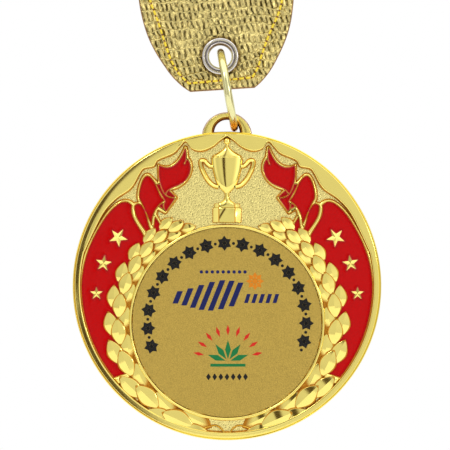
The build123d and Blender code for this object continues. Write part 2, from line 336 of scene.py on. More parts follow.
def lug_gold():
    """Plating of the lug, with painted shade in dark brown inside its hole."""

    def paint(recipe):
        place = recipe.place()
        x, _, z = recipe.axes(place)
        rise = z - LUG_HOLE_FLOOR * MM
        out = (x * x + rise * rise).root()
        # painted shade: dark brown inside the hole
        hole = recipe.ease(out, 0.00324, 0.00317)
        cloud = recipe.noise(place, 0.002)
        return {
            "Base Color": recipe.mix(hole, palette("gold"), (0.20, 0.052, 0.006)),
            "Metallic": 1.0 - 0.9 * hole,
            "Roughness": 0.16 + 0.1 * cloud + 0.6 * hole,
            "Specular IOR Level": 0.0,
            "Normal": recipe.bump(cloud, 0.00004, 0.5),
        }

    return finish("lug_gold", paint)


def outline_gold():
    """Painted shade: copper-brown fine lines round leaves and walls, also used for the painted dark
    reflection in the rim's groove on its left.
    """

    def paint(recipe):
        patch = recipe.noise(recipe.place(), 0.0008, 3.0)
        line = palette("line_gold")
        return {
            "Base Color": recipe.mix(patch, shade(line, 0.7), shade(line, 1.5)),
            "Metallic": 0.45,
            "Roughness": 0.32 + 0.15 * patch,
            "Specular IOR Level": 0.1,
            "Normal": recipe.bump(patch, 0.00002, 0.5),
        }

    return finish("outline_gold", paint)


def sandblasted_gold():
    """The ground of the relief and the medal's back, blasted to a fine sparkle."""

    def paint(recipe):
        place = recipe.place()
        lumps = recipe.noise(place, 0.00020)
        grain = 0.55 * recipe.pits(place, 0.00038) + 0.45 * lumps
        bright = palette("field_gold")
        return {
            "Base Color": recipe.mix(recipe.ease(grain, 0.50, 0.26), bright, shade(bright, 0.48)),
            "Metallic": 1.0,
            "Roughness": 0.20 + 0.14 * lumps,
            "Normal": recipe.bump(grain, 0.00013),
        }

    return finish("sandblasted_gold", paint)


def printed_gold():
    """The insert's matt gold sheet, with a fine rolled grain."""

    def paint(recipe):
        place = recipe.place()
        grain = recipe.ease(recipe.noise(place, 0.00014), 0.3, 0.7)
        cloud = recipe.noise(place, 0.007)
        sheet = palette("insert_gold")
        tone = recipe.mix(cloud, sheet, shade(sheet, 0.9))
        return {
            "Base Color": recipe.mix(grain * 0.9, tone, shade(sheet, 1.45)),
            "Metallic": 0.75,
            "Roughness": 0.40 + 0.12 * grain,
            "Normal": recipe.bump(grain, 0.00003, 0.7),
        }

    return finish("printed_gold", paint)


def ink(name, tint):
    """Screen-printed ink, a little uneven where the mesh has left it thin."""

    def paint(recipe):
        thin = recipe.noise(recipe.place(), 0.0004, 3.0)
        off_tone = tuple(min(1, c * 1.6 + 0.03) for c in tint)
        return {
            "Base Color": recipe.mix(recipe.ease(thin, 0.55, 0.8) * 0.3, tint, off_tone),
            "Roughness": 0.34 + 0.14 * thin,
            "Specular IOR Level": 0.15,
            "Normal": recipe.bump(thin, 0.000006, 0.5),
        }

    return finish(name, paint)


def red_enamel():
    """Glossy fired enamel, with slight waves in its surface, painted shade (a deeper red) near its edge and a
    painted highlight (a pale line) against its walls.
    """

    def paint(recipe):
        place = recipe.place()
        wave = recipe.noise(place, 0.0024, 1.0)
        fleck = recipe.noise(place, 0.0006)
        gap = recipe.mark("gap")
        # painted shade: deeper red within about 0.7 mm of the walls; the flecks are random tone
        dark = 0.5 * recipe.ease(gap, 0.0007, 0.0002) + 0.2 * recipe.ease(fleck, 0.45, 0.75)
        body = recipe.mix(dark, palette("enamel"), shade(palette("enamel"), 0.62))
        # painted highlight: a pale line right along the walls
        painted_edge_highlight = 0.55 * recipe.ease(gap, 0.0002, 0.00008)
        return {
            "Base Color": recipe.mix(painted_edge_highlight, body, (0.75, 0.10, 0.09)),
            "Roughness": 0.12 + 0.08 * fleck,
            "Specular IOR Level": 0.12,
            "Normal": recipe.bump(wave, 0.00006, 0.4),
        }

    return finish("red_enamel", paint)


def wire_gold():
    """Pale flash plating on drawn wire, with painted shade where it runs through the lug's hole."""

    def paint(recipe):
        place = recipe.place()
        drawn = recipe.noise(recipe.stretched(place, (1.0, 0.25, 0.25)), 0.0003, 3.0)
        cloud = recipe.noise(place, 0.003)
        # painted shade: orange-brown on the link's lowest part, inside the lug's hole
        foot = recipe.ease(recipe.axes(place)[2], 0.0352, 0.0338)
        tone = recipe.mix(cloud * 0.3, palette("wire_gold"), shade(palette("wire_gold"), 0.8))
        return {
            "Base Color": recipe.mix(foot, tone, (0.62, 0.24, 0.02)),
            "Metallic": 1.0,
            "Roughness": 0.13 + 0.1 * drawn,
            "Normal": recipe.bump(drawn, 0.000003, 0.5),
        }

    return finish("wire_gold", paint)


def from_eyelet(recipe):
    """How far a point of the strap is from the eyelet's centre, and how high over it."""
    x, _, z = recipe.axes(recipe.place())
    x, z = x - EYELET_CENTRE.x, z - EYELET_CENTRE.z
    return (x * x + z * z).root(), z


def nickel():
    """Spun nickel with fine turning lines; painted shade darkens the groove and the outer edge of its roll,
    and a painted brown shadow lies in the top of the hole.
    """

    def paint(recipe):
        place = recipe.place()
        spun = recipe.noise(place, 0.0002, 3.0)
        cloud = recipe.noise(place, 0.0015)
        out, high = from_eyelet(recipe)
        tone = recipe.mix(cloud * 0.4, palette("nickel"), shade(palette("nickel"), 0.8))
        # painted shade: dark rings in the groove between lip and flange and on the flange's outer edge
        painted_roll_shade = recipe.hill(out, 0.00306, 0.00020) + recipe.ease(out, 0.00380, 0.00395)
        tone = recipe.mix(painted_roll_shade * 0.85, tone, (0.13, 0.115, 0.11))
        # painted shadow: brown in the upper part of the hole, under the lip
        painted_hole_shadow = recipe.ease(out, 0.00285, 0.00262) * recipe.ease(high, 0.0004, 0.0016)
        return {
            "Base Color": recipe.mix(painted_hole_shadow * 0.85, tone, (0.24, 0.12, 0.03)),
            "Metallic": 1.0,
            "Roughness": 0.15 + 0.08 * spun + 0.2 * painted_hole_shadow,
            "Normal": recipe.bump(spun, 0.0000015, 0.4),
        }

    return finish("nickel", paint)


def leathercloth(sizes):
    """Gold-foiled leathercloth: rows of small embossed cells, creased, with painted light and shade on its
    wrinkles and painted shade in its creases and round the eyelet.
    """

    def paint(recipe):
        lay = recipe.lay()
        across, along, _ = recipe.axes(lay)
        sway = recipe.noise(lay, 0.0022)
        drift = recipe.noise(recipe.moved(lay, (3, 3, 3)), 0.005)
        row = along / sizes.cell_length + 2.2 * drift
        number = floor(row)
        column = across / sizes.cell_width + 0.37 * number + 0.45 * (row - number) + 1.3 * sway
        ridge = abs((column * pi).sine())
        band = abs((row * pi).sine())
        wrinkle = recipe.noise(recipe.stretched(lay, (1.6, 0.9, 1.0)), 0.0011, 3.0)
        pulled = recipe.noise(recipe.stretched(lay, (0.22, 1.0, 1.0)), 0.0022)
        worked = recipe.ease(recipe.noise(lay, 0.007), 0.26, 0.56)
        cell = recipe.ease(ridge, 0.05, 0.75) * recipe.ease(band, 0.0, 0.55)
        height = (0.25 + 0.6 * worked) * cell + 0.45 * wrinkle + 0.5 * pulled
        valley = recipe.ease(ridge, 0.60, 0.2) * recipe.ease(band, 0.12, 0.5)
        # painted shade: near-black in the creases between cells
        painted_crease_shade = valley * worked * recipe.ease(wrinkle, 0.66, 0.44)
        cloth = palette("leathercloth")
        # painted light and shade: lighter on the wrinkles' high spots, darker in their low spots
        tone = recipe.mix(recipe.ease(wrinkle, 0.34, 0.66), shade(cloth, 0.54), cloth)
        rim = recipe.ease(recipe.mark("edge_gap") + 0.0002 * wrinkle, 0.0005, 0.00025)
        # the cloth is pressed down round the eyelet's flange (bump), with painted shade there (colour)
        pressed_and_shaded = recipe.ease(from_eyelet(recipe)[0], 0.0046, 0.0041)
        creased = recipe.mix(painted_crease_shade, tone, (0.055, 0.038, 0.004))
        creased = recipe.mix(pressed_and_shaded * 0.8, creased, (0.20, 0.11, 0.015))
        return {
            "Base Color": recipe.mix(rim, creased, palette("cut_edge")),
            "Metallic": 0.9 - 0.75 * rim,
            "Roughness": 0.2 + 0.18 * wrinkle + 0.3 * rim,
            "Normal": recipe.bump(height - 0.3 * pressed_and_shaded, 0.00066),
        }

    return finish("gold_leathercloth", paint)


def cut_edge():
    """The strap's cut edge: brown backing cloth between two coated faces."""

    def paint(recipe):
        fibre = recipe.noise(recipe.place(), 0.0002, 4.0)
        return {
            "Base Color": recipe.mix(fibre, palette("cut_edge"), shade(palette("cut_edge"), 1.7)),
            "Roughness": 0.7 + 0.2 * fibre,
            "Normal": recipe.bump(fibre, 0.00008, 0.7),
        }

    return finish("cut_edge", paint)


def sewing_thread():
    """Yellow thread, twisted, with painted shade where it dips into a needle hole."""

    def paint(recipe):
        dip = recipe.mark("dip")
        across, along, _ = recipe.axes(recipe.lay())
        twist = ((along * 2.0 + across) * (2 * pi / 0.0006)).sine()
        return {
            # painted shade: dark brown where the thread dips into a needle hole
            "Base Color": recipe.mix(recipe.ease(dip, 0.15, 0.7), palette("thread"), (0.20, 0.045, 0.003)),
            "Roughness": 0.5 + 0.2 * dip,
            "Normal": recipe.bump(twist, 0.00003, 0.6),
        }

    return finish("sewing_thread", paint)


def woven_band():
    """Pale woven band, one thread over and one under."""

    def paint(recipe):
        across, along, _ = recipe.axes(recipe.lay())
        thread_pair = 0.0009
        weave = (across * (2 * pi / thread_pair)).sine() * (along * (2 * pi / thread_pair)).sine()
        fuzz = recipe.noise(recipe.lay(), 0.0005, 3.0)
        lit = recipe.ease(weave + fuzz, -0.6, 1.2)
        return {
            "Base Color": recipe.mix(lit, (0.42, 0.33, 0.14), (0.80, 0.70, 0.40)),
            "Roughness": 0.68 + 0.15 * fuzz,
            "Sheen Weight": 0.25,
            "Normal": recipe.bump(weave + 0.4 * fuzz, 0.00012, 0.7),
        }

    return finish("woven_band", paint)


def adhesive():
    """Thin clouded glue film under the insert."""

    def paint(recipe):
        cloud = recipe.noise(recipe.place(), 0.0012, 3.0)
        return {
            "Base Color": recipe.mix(cloud, (0.62, 0.58, 0.46), (0.78, 0.76, 0.68)),
            "Roughness": 0.35 + 0.2 * cloud,
            "Normal": recipe.bump(cloud, 0.00002, 0.5),
        }

    return finish("adhesive_film", paint)


def studio_floor():
    """Matt pale board."""

    def paint(recipe):
        grain = recipe.noise(recipe.place(), 0.004)
        tone = recipe.mix(grain, (0.80, 0.80, 0.79), (0.86, 0.86, 0.85))
        return {"Base Color": tone, "Roughness": 0.75}

    return finish("studio_floor", paint)


# ----------------------------------------------------------------------------------------
# Mesh making
# ----------------------------------------------------------------------------------------
class Skin:
    """Points and faces of one piece while it is being made."""

    def __init__(self):
        self.points, self.faces, self.finishes = [], [], []
        self.lay, self.marks = [], {}

    def point(self, place, lay=(0.0, 0.0), **marks):
        self.points.append(place)
        self.lay.append(lay)
        for name, value in marks.items():
            self.marks.setdefault(name, {})[len(self.points) - 1] = value
        return len(self.points) - 1

    def face(self, corners, finish=0):
        self.faces.append(corners)
        self.finishes.append(finish)

    def grid(self, rows, closed=False, looped=False, finish=0, keep=None):
        """Faces between rows of points; closed joins a row's ends, looped the last row to the first.

        finish is a number, or a function of the row's and column's numbers; keep leaves faces out.
        """
        rows = [[p if isinstance(p, int) else self.point(p) for p in row] for row in rows]
        last_row = len(rows) if looped else len(rows) - 1
        for i in range(last_row):
            here, there = rows[i], rows[(i + 1) % len(rows)]
            for j in range(len(here) if closed else len(here) - 1):
                k = (j + 1) % len(here)
                if keep is None or keep(i, j):
                    number = finish(i, j) if callable(finish) else finish
                    self.face([here[j], here[k], there[k], there[j]], number)
        return rows

    def fan(self, ring, centre, finish=0):
        tip = self.point(centre)
        for j, corner in enumerate(ring):
            self.face([corner, ring[(j + 1) % len(ring)], tip], finish)

    def piece(self, name, body, materials, stands_for=(), sharp=35.0, weld=None):
        """The finished piece, riding on a body of the frame."""
        mesh = bpy.data.meshes.new(name)
        mesh.from_pydata(self.points, [], self.faces)
        for material in materials:
            mesh.materials.append(material)
        mesh.polygons.foreach_set("material_index", self.finishes)
        if any(self.lay):
            layer = mesh.uv_layers.new(name="lay")
            corners = [c for loop in mesh.loops for c in self.lay[loop.vertex_index]]
            layer.data.foreach_set("uv", corners)
        for mark, values in self.marks.items():
            layer = mesh.attributes.new(mark, "FLOAT", "POINT")
            layer.data.foreach_set("value", [values.get(i, 0.0) for i in range(len(self.points))])
        work = bmesh.new()
        work.from_mesh(mesh)
        if weld:
            bmesh.ops.remove_doubles(work, verts=work.verts, dist=weld)
        bmesh.ops.delete(work, geom=[v for v in work.verts if not v.link_faces], context="VERTS")
        bmesh.ops.recalc_face_normals(work, faces=work.faces)
        work.to_mesh(mesh)
        work.free()
        mesh.shade_smooth()
        mesh.set_sharp_from_angle(angle=radians(sharp))
        made = bpy.data.objects.new(name, mesh)
        bpy.context.scene.collection.objects.link(made)
        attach(made, body)
        if stands_for:
            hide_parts(*stands_for)
        return made


def smooth_line(points, steps=8):
    """A smooth line through the points, as many short runs."""
    line = []
    for i in range(len(points) - 1):
        before, start, end = points[max(i - 1, 0)], points[i], points[i + 1]
        after = points[min(i + 2, len(points) - 1)]
        for k in range(steps):
            t = k / steps
            line.append(tuple(
                b + 0.5 * t * (c - a + t * (2 * a - 5 * b + 4 * c - d + t * (3 * b - a - 3 * c + d)))
                for a, b, c, d in zip(before, start, end, after)
            ))
    return line + [tuple(points[-1])]


def distances(line):
    """How far along the line each of its points is."""
    along = [0.0]
    for a, b in zip(line, line[1:]):
        along.append(along[-1] + hypot(b[0] - a[0], b[1] - a[1]))
    return along


def between(line, along, wanted):
    """The point of the line that far along it."""
    wanted = min(max(wanted, 0.0), along[-1])
    k = next((i for i in range(1, len(along)) if along[i] >= wanted), len(along) - 1)
    share = (wanted - along[k - 1]) / max(along[k] - along[k - 1], 1e-9)
    return tuple(a + (b - a) * share for a, b in zip(line[k - 1], line[k]))


def respaced(line, spacing, closed=False):
    """The line again, in equal runs of about that length."""
    line = line + [line[0]] if closed else line
    along = distances(line)
    count = max(3, round(along[-1] / spacing))
    return [between(line, along, along[-1] * k / count) for k in range(count if closed else count + 1)]


def leftward(line, closed=False):
    """Unit normals to the left of the line's direction, one for each point."""
    normals = []
    for i in range(len(line)):
        a = line[i - 1] if closed or i else line[0]
        b = line[(i + 1) % len(line)] if closed or i < len(line) - 1 else line[-1]
        x, z = b[0] - a[0], b[1] - a[1]
        run = max(hypot(x, z), 1e-9)
        normals.append((-z / run, x / run))
    return normals


def swept(skin, line, profile, place=on_face, closed=False, finish=0):
    """A bar along a line; the profile is a list of (leftward, height) in millimetres."""
    rows = [
        [place(x + nx * side, z + nz * side, height) for side, height in profile]
        for (x, z), (nx, nz) in zip(line, leftward(line, closed))
    ]
    return skin.grid(rows, looped=closed, finish=finish)


def mirrored(points):
    return [(-x, z) for x, z in reversed(points)]


def lined(*columns):
    """A grid's finish: the second material in these columns of faces, the first elsewhere."""
    return lambda i, j: 1 if j in columns else 0


# ----------------------------------------------------------------------------------------
# Casting: plate, rim and lug
# ----------------------------------------------------------------------------------------
RIM_INNER_RADIUS = 30.9
SCALLOPS = [
    (0, 31.6), (1.5, 30.6), (3.1, 29.3), (5.4, 28.45), (7.4, 28.9), (8.7, 30.4), (9.9, 29.3), (11.3, 27.9),
    (14.5, 26.5), (15.4, 25.2), (17.5, 24.7), (18.4, 23.6), (20.2, 20.6), (23.6, 18.1), (26.4, 14.7),
    (30.1, 7.0),
]
DARK_REFLECTION_SIDE = (110, 250)  # degrees round the rim between which its groove gets a painted dark reflection
LUG_RADIUS, LUG_CENTRE_HEIGHT = 5.15, 31.25
LUG_FRONT, LUG_BACK = 3.5, 0.5
LUG_HOLE_FRONT, LUG_HOLE_BACK, LUG_HOLE_FLOOR = 3.2, 2.7, 32.35


def scalloped_radius(line, angle):
    """The rim's inner radius in one direction; the line holds the scallops as (angle, radius)."""
    angle = abs((angle - 90 + 180) % 360 - 180)
    for (a, ra), (b, rb) in zip(line, line[1:]):
        if a <= angle <= b:
            return ra + (rb - ra) * (angle - a) / max(b - a, 1e-9)
    return RIM_INNER_RADIUS


def crown(start, end, height, angle):
    """Stations over the rim's broad crown, rounded down at its start, a little rippled on the left."""
    uneven = exp(-((angle - 182) / 30) ** 2) * (1 + 0.5 * sin(radians(14 * angle)))
    stations = []
    for t in (0.05 + 0.07 * n for n in range(13)):
        inward = (start - end) * t
        rounding = 0.05 * max(0.0, 1 - inward / 1.3) ** 2
        ripple = 0.004 * uneven * sin(2 * pi * inward / 0.62) * sin(pi * t)
        stations.append((start - inward, height - rounding + ripple))
    return stations


class MEDAL_OT_casting(Operator):
    """Make the medal's plate, its beaded and scalloped rim, and the lug that it hangs from"""

    bl_idname = "medal.casting"
    bl_label = "Casting"

    def execute(self, context):
        self.make_plate(context.scene.medal_sizes)
        self.make_lug()
        return {"FINISHED"}

    def make_plate(self, sizes):
        line = [(90 - degrees(atan2(z, x)), hypot(x, z)) for x, z in smooth_line(SCALLOPS, 12)]
        outer, top, bead = MEDAL_RADIUS, RIM_HEIGHT, sizes.bead_width / MM
        flat, bead_foot, groove_end = top - 0.06, outer - bead, outer - bead - 0.18
        back = [
            (8, 0), (20, 0), (30.6, 0), (31.9, 0), (outer - 0.25, 0.06), (outer - 0.06, 0.22), (outer, 0.45),
        ]
        side = [(outer, 2.0), (outer, top - 0.35), (outer - 0.04, top - 0.16), (outer - 0.13, top - 0.04)]
        round_bead = [(outer - bead / 2, top), (bead_foot + 0.08, top - 0.06), (bead_foot, top - 0.18)]
        groove = [(bead_foot - 0.06, top - 0.22), (bead_foot - 0.12, top - 0.17), (groove_end, top - 0.14)]
        fall = [(0.34, flat), (0.28, flat), (0.1, flat - 0.02), (0.03, flat - 0.08), (0, top - 0.32)]
        foot = [(-0.1, 3.3), (-0.3, FIELD_HEIGHT)]
        ground = [(r, FIELD_HEIGHT) for r in (27.5, 20, 10)]
        before_groove = back + side + round_bead
        count = 900
        columns = []
        for k in range(count):
            angle = 360 * k / count
            inner = scalloped_radius(line, angle)
            stations = before_groove + groove + crown(groove_end, inner + fall[0][0], flat, angle)
            stations += [(inner + r, h) for r, h in fall + foot] + ground
            columns.append([on_face(*polar((0, 0), r, angle), h) for r, h in stations])
        last_foot = len(columns[0]) - 1 - len(ground)
        groove_faces = (len(before_groove) - 1, len(before_groove))

        def ground_or_gold(i, j):
            if j < 2 or j >= last_foot:
                return 1
            # painted dark reflection: the groove on the rim's left side takes the outline finish; the foot of
            # the rim's inner fall takes it too, as painted shade
            off_tone = j in groove_faces and DARK_REFLECTION_SIDE[0] < 360 * i / count < DARK_REFLECTION_SIDE[1]
            return 2 if off_tone or j >= last_foot - len(foot) else 0

        skin = Skin()
        rows = skin.grid(columns, looped=True, finish=ground_or_gold)
        skin.fan([row[0] for row in rows], on_face(0, 0, 0), finish=1)
        skin.fan([row[-1] for row in rows], on_face(0, 0, FIELD_HEIGHT), finish=1)
        materials = [cast_gold(), sandblasted_gold(), outline_gold()]
        skin.piece("plate_and_rim", "medal", materials, ["medal_casting"], sharp=50)

    def make_lug(self):
        skin = Skin()
        count, root = 64, 30.9
        rows = []
        for k in range(-2, count + 3):
            turn = 180 * min(max(k, 0), count) / count
            out = polar((0, LUG_CENTRE_HEIGHT), LUG_RADIUS, turn)
            holes = [polar((0, LUG_HOLE_FLOOR), r, turn) for r in (LUG_HOLE_BACK, LUG_HOLE_FRONT)]
            if not 0 <= k <= count:
                out = (out[0], root)
                holes = [(x, root) for x, _ in holes]
            back, front = holes
            outward = Vector(out) - Vector(front)
            outward.normalize()
            section = [  # on the hole's or the outer edge, shift outward, height
                (back, 0, LUG_BACK + 0.15), (back, 0.15, LUG_BACK), (out, -0.35, LUG_BACK),
                (out, -0.08, LUG_BACK + 0.1), (out, 0, LUG_BACK + 0.35), (out, 0, LUG_FRONT - 0.14),
                (out, -0.02, LUG_FRONT - 0.06), (out, -0.06, LUG_FRONT - 0.015), (out, -0.14, LUG_FRONT),
                (front, 0.16, LUG_FRONT), (front, 0.04, LUG_FRONT - 0.04), (front, 0, LUG_FRONT - 0.15),
            ]
            rows.append([on_face(*(Vector(base) + outward * shift), high) for base, shift, high in section])
        skin.grid(rows, closed=True)
        skin.piece("hanging_lug", "medal", [lug_gold()], ["medal_casting"], sharp=60)


# ----------------------------------------------------------------------------------------
# Wreath, insert ring and stems
# ----------------------------------------------------------------------------------------
LEAF_COLUMNS = [  # distance from the insert's centre, lean outward, and the leaves' angles
    (21.5, -8, [67, 58, 49, 39, 28, 16, 2, -14, -32, -53, -72]),
    (24.4, 12, [58, 48, 37, 25, 12.5, -1, -15, -34, -55, -73]),
    (22.9, 3, [62, 52, 42, 32, 21, 9, -5, -22, -43, -63]),
]
LEAF_TOP_ANGLE, LEAF_TOP_LENGTH, LEAF_GROWTH = 60.0, 4.0, 0.027
LEAF_SLIMNESS = 0.56
# Across a leaf: place as a share of its half width, and share of the ridge's height (None: at the foot)
LEAF_SECTION = (
    (-1.12, None), (-1, 0), (-0.87, 0.12), (-0.84, 0.2), (0, 1),
    (0.84, 0.2), (0.87, 0.12), (1, 0), (1.12, None),
)
LEAF_BRIGHT_FACES = range(2, 6)  # the faces of that section that aren't the leaf's outline
LEAF_HALF_ROWS = 8
GROUND_UNDER_LEAVES = [(-1.7, FIELD_HEIGHT), (-1.5, 3.02), (1.3, 3.02), (1.5, FIELD_HEIGHT)]


class MEDAL_OT_wreath(Operator):
    """Make the two sprays of leaves, the ring round the insert and the sprays' crossed stems"""

    bl_idname = "medal.wreath"
    bl_label = "Wreath"

    def execute(self, context):
        ridge = context.scene.medal_sizes.leaf_ridge / MM
        skin = Skin()
        for side in (1, -1):
            for level, (radius, lean, angles) in enumerate(LEAF_COLUMNS):
                for angle in angles:
                    self.add_leaf(skin, radius, angle, lean, side, ridge - 0.48 + 0.24 * level)
            ground = [polar(INSERT_CENTRE, 21.9, a) for a in range(-84, 69, 3)]
            ground = [(side * x, z) for x, z in ground if hypot(x, z) < 28.9]
            # the ground under the leaves takes the outline finish's painted shade
            swept(skin, ground, GROUND_UNDER_LEAVES, finish=1)
        materials = [cast_gold(), outline_gold()]
        skin.piece("wreath_leaves", "medal", materials, ["medal_casting"], sharp=12)

        skin = Skin()
        circle = [polar(INSERT_CENTRE, 20.35, a) for a in range(0, 360, 2)]
        half_bead = [(-0.36, FIELD_HEIGHT), (-0.30, 3.5), (-0.16, 3.68)]
        bead = half_bead + [(0, 3.73)] + mirrored(half_bead)
        swept(skin, circle, bead, closed=True)
        half_stem = [(-0.2, FIELD_HEIGHT), (-0.14, 3.3)]
        stem = half_stem + [(0, 3.42)] + mirrored(half_stem)
        for side in (1, -1):
            arc = smooth_line([(0.5, -31.1), (1.3, -30.0), (2.5, -29.4), (4.2, -29.8), (5.6, -30.7)], 8)
            swept(skin, [(side * x, z) for x, z in arc], stem)
        skin.piece("insert_ring_and_stems", "medal", [cast_gold()], ["medal_casting"], sharp=50)
        return {"FINISHED"}

    def add_leaf(self, skin, radius, angle, lean, side, ridge):
        """A pointed leaf with a crisp ridge; leaves grow longer towards the spray's foot."""
        length = LEAF_TOP_LENGTH + LEAF_GROWTH * (LEAF_TOP_ANGLE - angle)
        half_width = LEAF_SLIMNESS * length / 2
        heading = radians(angle + 90 - lean)
        centre = polar(INSERT_CENTRE, radius, angle)
        rows = []
        for k in range(2 * LEAF_HALF_ROWS + 1):
            t = -1 + k / LEAF_HALF_ROWS
            fullness = 1 - abs(t) ** 1.8
            width = half_width * fullness + 0.02
            low = ridge - 0.3 + 0.2 * t
            row = []
            for s, share in LEAF_SECTION:
                height = FIELD_HEIGHT if share is None else low + 0.3 * fullness * share
                along, across = t * length / 2 * (1.03 if share is None else 1), s * width
                x = centre[0] + along * cos(heading) - across * sin(heading)
                z = centre[1] + along * sin(heading) + across * cos(heading)
                held = min(1.0, (RIM_INNER_RADIUS + 0.25) / hypot(x, z))
                row.append(on_face(side * x * held, z * held, height))
            rows.append(row)
        ends = (0, 2 * LEAF_HALF_ROWS - 1)
        # the leaf's outline and its ends take the outline finish's painted shade
        skin.grid(rows, finish=lambda i, j: 0 if j in LEAF_BRIGHT_FACES and i not in ends else 1)


# ----------------------------------------------------------------------------------------
# Cup on its plinth
# ----------------------------------------------------------------------------------------
CUP_PROFILE = [  # height on the medal, half width
    (30.0, 0.30), (29.6, 0.34), (29.1, 0.62), (28.6, 1.15), (28.1, 1.9), (27.7, 2.6), (27.5, 2.95),
    (27.42, 3.1), (27.22, 3.2), (27.14, 2.98), (27.08, 3.2), (26.95, 3.34), (26.7, 3.34), (26.0, 3.28),
    (25.0, 3.16), (24.0, 2.96), (23.0, 2.7), (22.0, 2.38), (21.2, 2.0), (20.6, 1.55), (20.1, 1.05),
    (19.75, 0.66), (19.5, 0.52), (19.2, 0.5), (18.9, 0.5), (18.4, 0.6), (17.9, 0.95), (17.6, 1.4),
    (17.4, 1.7), (17.2, 1.7),
]
CUP_KNOB = (0, 30.5)
CUP_HANDLE = [
    (2.9, 25.2), (3.6, 25.3), (4.2, 25.75), (4.7, 26.3), (5.3, 26.4), (5.55, 26.0), (5.35, 24.9), (4.8, 23.6),
    (4.1, 22.4), (3.3, 21.5), (2.5, 21.05), (1.8, 20.9),
]


class MEDAL_OT_cup(Operator):
    """Make the lidded cup with its two handles, and the plinth under it"""

    bl_idname = "medal.cup"
    bl_label = "Cup"

    def execute(self, context):
        bulge = context.scene.medal_sizes.cup_bulge / MM
        skin = Skin()
        rows = []
        line = smooth_line(CUP_PROFILE, 3)
        for z, half in line:
            swell = bulge * (0.42 + 0.58 * min(half / 3.2, 1) ** 0.7)
            rows.append([
                on_face(half * cos(radians(180 - t)), z, FIELD_HEIGHT + swell * sin(radians(t)) ** 0.85)
                for t in range(0, 181, 9)
            ])
        # the cup's outermost strips take the outline finish's painted shade
        skin.grid(rows, finish=lined(0, len(rows[0]) - 2))
        self.add_knob(skin, bulge)
        for side in (1, -1):
            self.add_handle(skin, side)
        self.add_plinth(skin)
        materials = [cast_gold(), outline_gold()]
        skin.piece("cup_relief", "medal", materials, ["medal_casting"], sharp=24)
        return {"FINISHED"}

    def add_knob(self, skin, bulge):
        rows = []
        for turn in range(0, 91, 15):
            radius = 0.72 * cos(radians(turn))
            height = FIELD_HEIGHT + 0.35 + bulge * 0.55 * sin(radians(turn))
            rows.append([on_face(*polar(CUP_KNOB, radius, a), height) for a in range(0, 360, 20)])
        foot = [on_face(*polar(CUP_KNOB, 0.74, a), FIELD_HEIGHT) for a in range(0, 360, 20)]
        skin.grid([foot, *rows], closed=True)

    def add_handle(self, skin, side):
        line = smooth_line([(side * x, z) for x, z in CUP_HANDLE], 6)
        half_bar = [(-0.56, FIELD_HEIGHT), (-0.38, 3.2), (-0.24, 3.5)]
        bar = half_bar + [(0, 3.65)] + mirrored(half_bar)
        # the handle's edges take the outline finish's painted shade
        swept(skin, line, bar, finish=lined(0, len(bar) - 2))

    def add_plinth(self, skin):
        """A block with bevelled cheeks, and a lower stepped cap on it."""
        for low, high, half, flat, front in ((13.3, 16.55, 3.1, 1.6, 3.95), (16.4, 17.4, 2.8, 1.55, 3.85)):
            rows = []
            foot = [(low, 0.12, 1.05), (low + 0.12, 0, 0.08), (low + 0.18, 0, 0)]
            shoulder = [(high - 0.35, 0, 0), (high - 0.1, 0.15, 0.1), (high, 0.4, 1.0)]
            for z, inset, drop in foot + shoulder:
                height = max(front - drop, FIELD_HEIGHT)
                cheek = [
                    (-half + inset, FIELD_HEIGHT), (-half + inset + 0.14, min(3.25, height)),
                    (-flat - 0.22, height - min(0.1, height - FIELD_HEIGHT)), (-flat, height),
                ]
                rows.append([on_face(x, z, h) for x, h in cheek + mirrored(cheek)])
            # the plinth's outer skirts, bevels and foot take the outline finish's painted shade
            skin.grid(rows, finish=lambda i, j: 1 if j in (0, 2, 4, 6) or i == 0 else 0)


# ----------------------------------------------------------------------------------------
# Banners: enamel, walls and stars
# ----------------------------------------------------------------------------------------
ENAMEL_CELLS = sorted(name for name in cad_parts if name.startswith("enamel_"))
PLATEAU_HEIGHT = 3.5
WALL_TRIM = 0.1  # how much thinner than the casting's plateau a wall is on its enamel side
OUTLINE_STEP = 0.18  # between an outline's points
ENAMEL_STEP = 0.24  # between the points of an enamel's surface
STARS = [((22.9, 10.2), 1.95, 31), ((26.0, 4.75), 1.7, 8), ((27.5, -1.6), 1.35, 0)]
STAR_WAIST = 0.4


def outlines(node, height):
    """Closed outlines of a CAD node's flat faces at a height over the medal's back, longest first."""
    work = bmesh.new()
    work.from_mesh(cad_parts[node].data)
    bmesh.ops.remove_doubles(work, verts=work.verts, dist=1e-6)
    others = [f for f in work.faces if any(abs(v.co.y + height * MM) > 1e-6 for v in f.verts)]
    bmesh.ops.delete(work, geom=others, context="FACES")
    work.verts.index_update()
    corners = [(v.co.x / MM, v.co.z / MM) for v in work.verts]
    ways = {}
    for edge in work.edges:
        if len(edge.link_faces) == 1:
            a, b = (v.index for v in edge.verts)
            ways.setdefault(a, []).append(b)
            ways.setdefault(b, []).append(a)
    work.free()
    loops, used = [], set()
    for start in ways:
        loop, here = [], start
        while here is not None and here not in used:
            used.add(here)
            loop.append(corners[here])
            here = next((n for n in ways[here] if n not in used), None)
        if len(loop) > 2:
            loops.append(loop)
    return sorted(loops, key=len, reverse=True)


def grown(loop, by):
    """A closed outline in short runs, counter-clockwise, moved outward by some millimetres."""
    loop = respaced(loop, OUTLINE_STEP, closed=True)
    if sum(a[0] * b[1] - b[0] * a[1] for a, b in zip(loop, loop[1:] + loop[:1])) < 0:
        loop.reverse()
    return [(x - nx * by, z - nz * by) for (x, z), (nx, nz) in zip(loop, leftward(loop, closed=True))]


def numbered(loops):
    """The numbers of each loop's points, when all the loops' points are in one list."""
    rings, first = [], 0
    for loop in loops:
        rings.append(list(range(first, first + len(loop))))
        first += len(loop)
    return rings


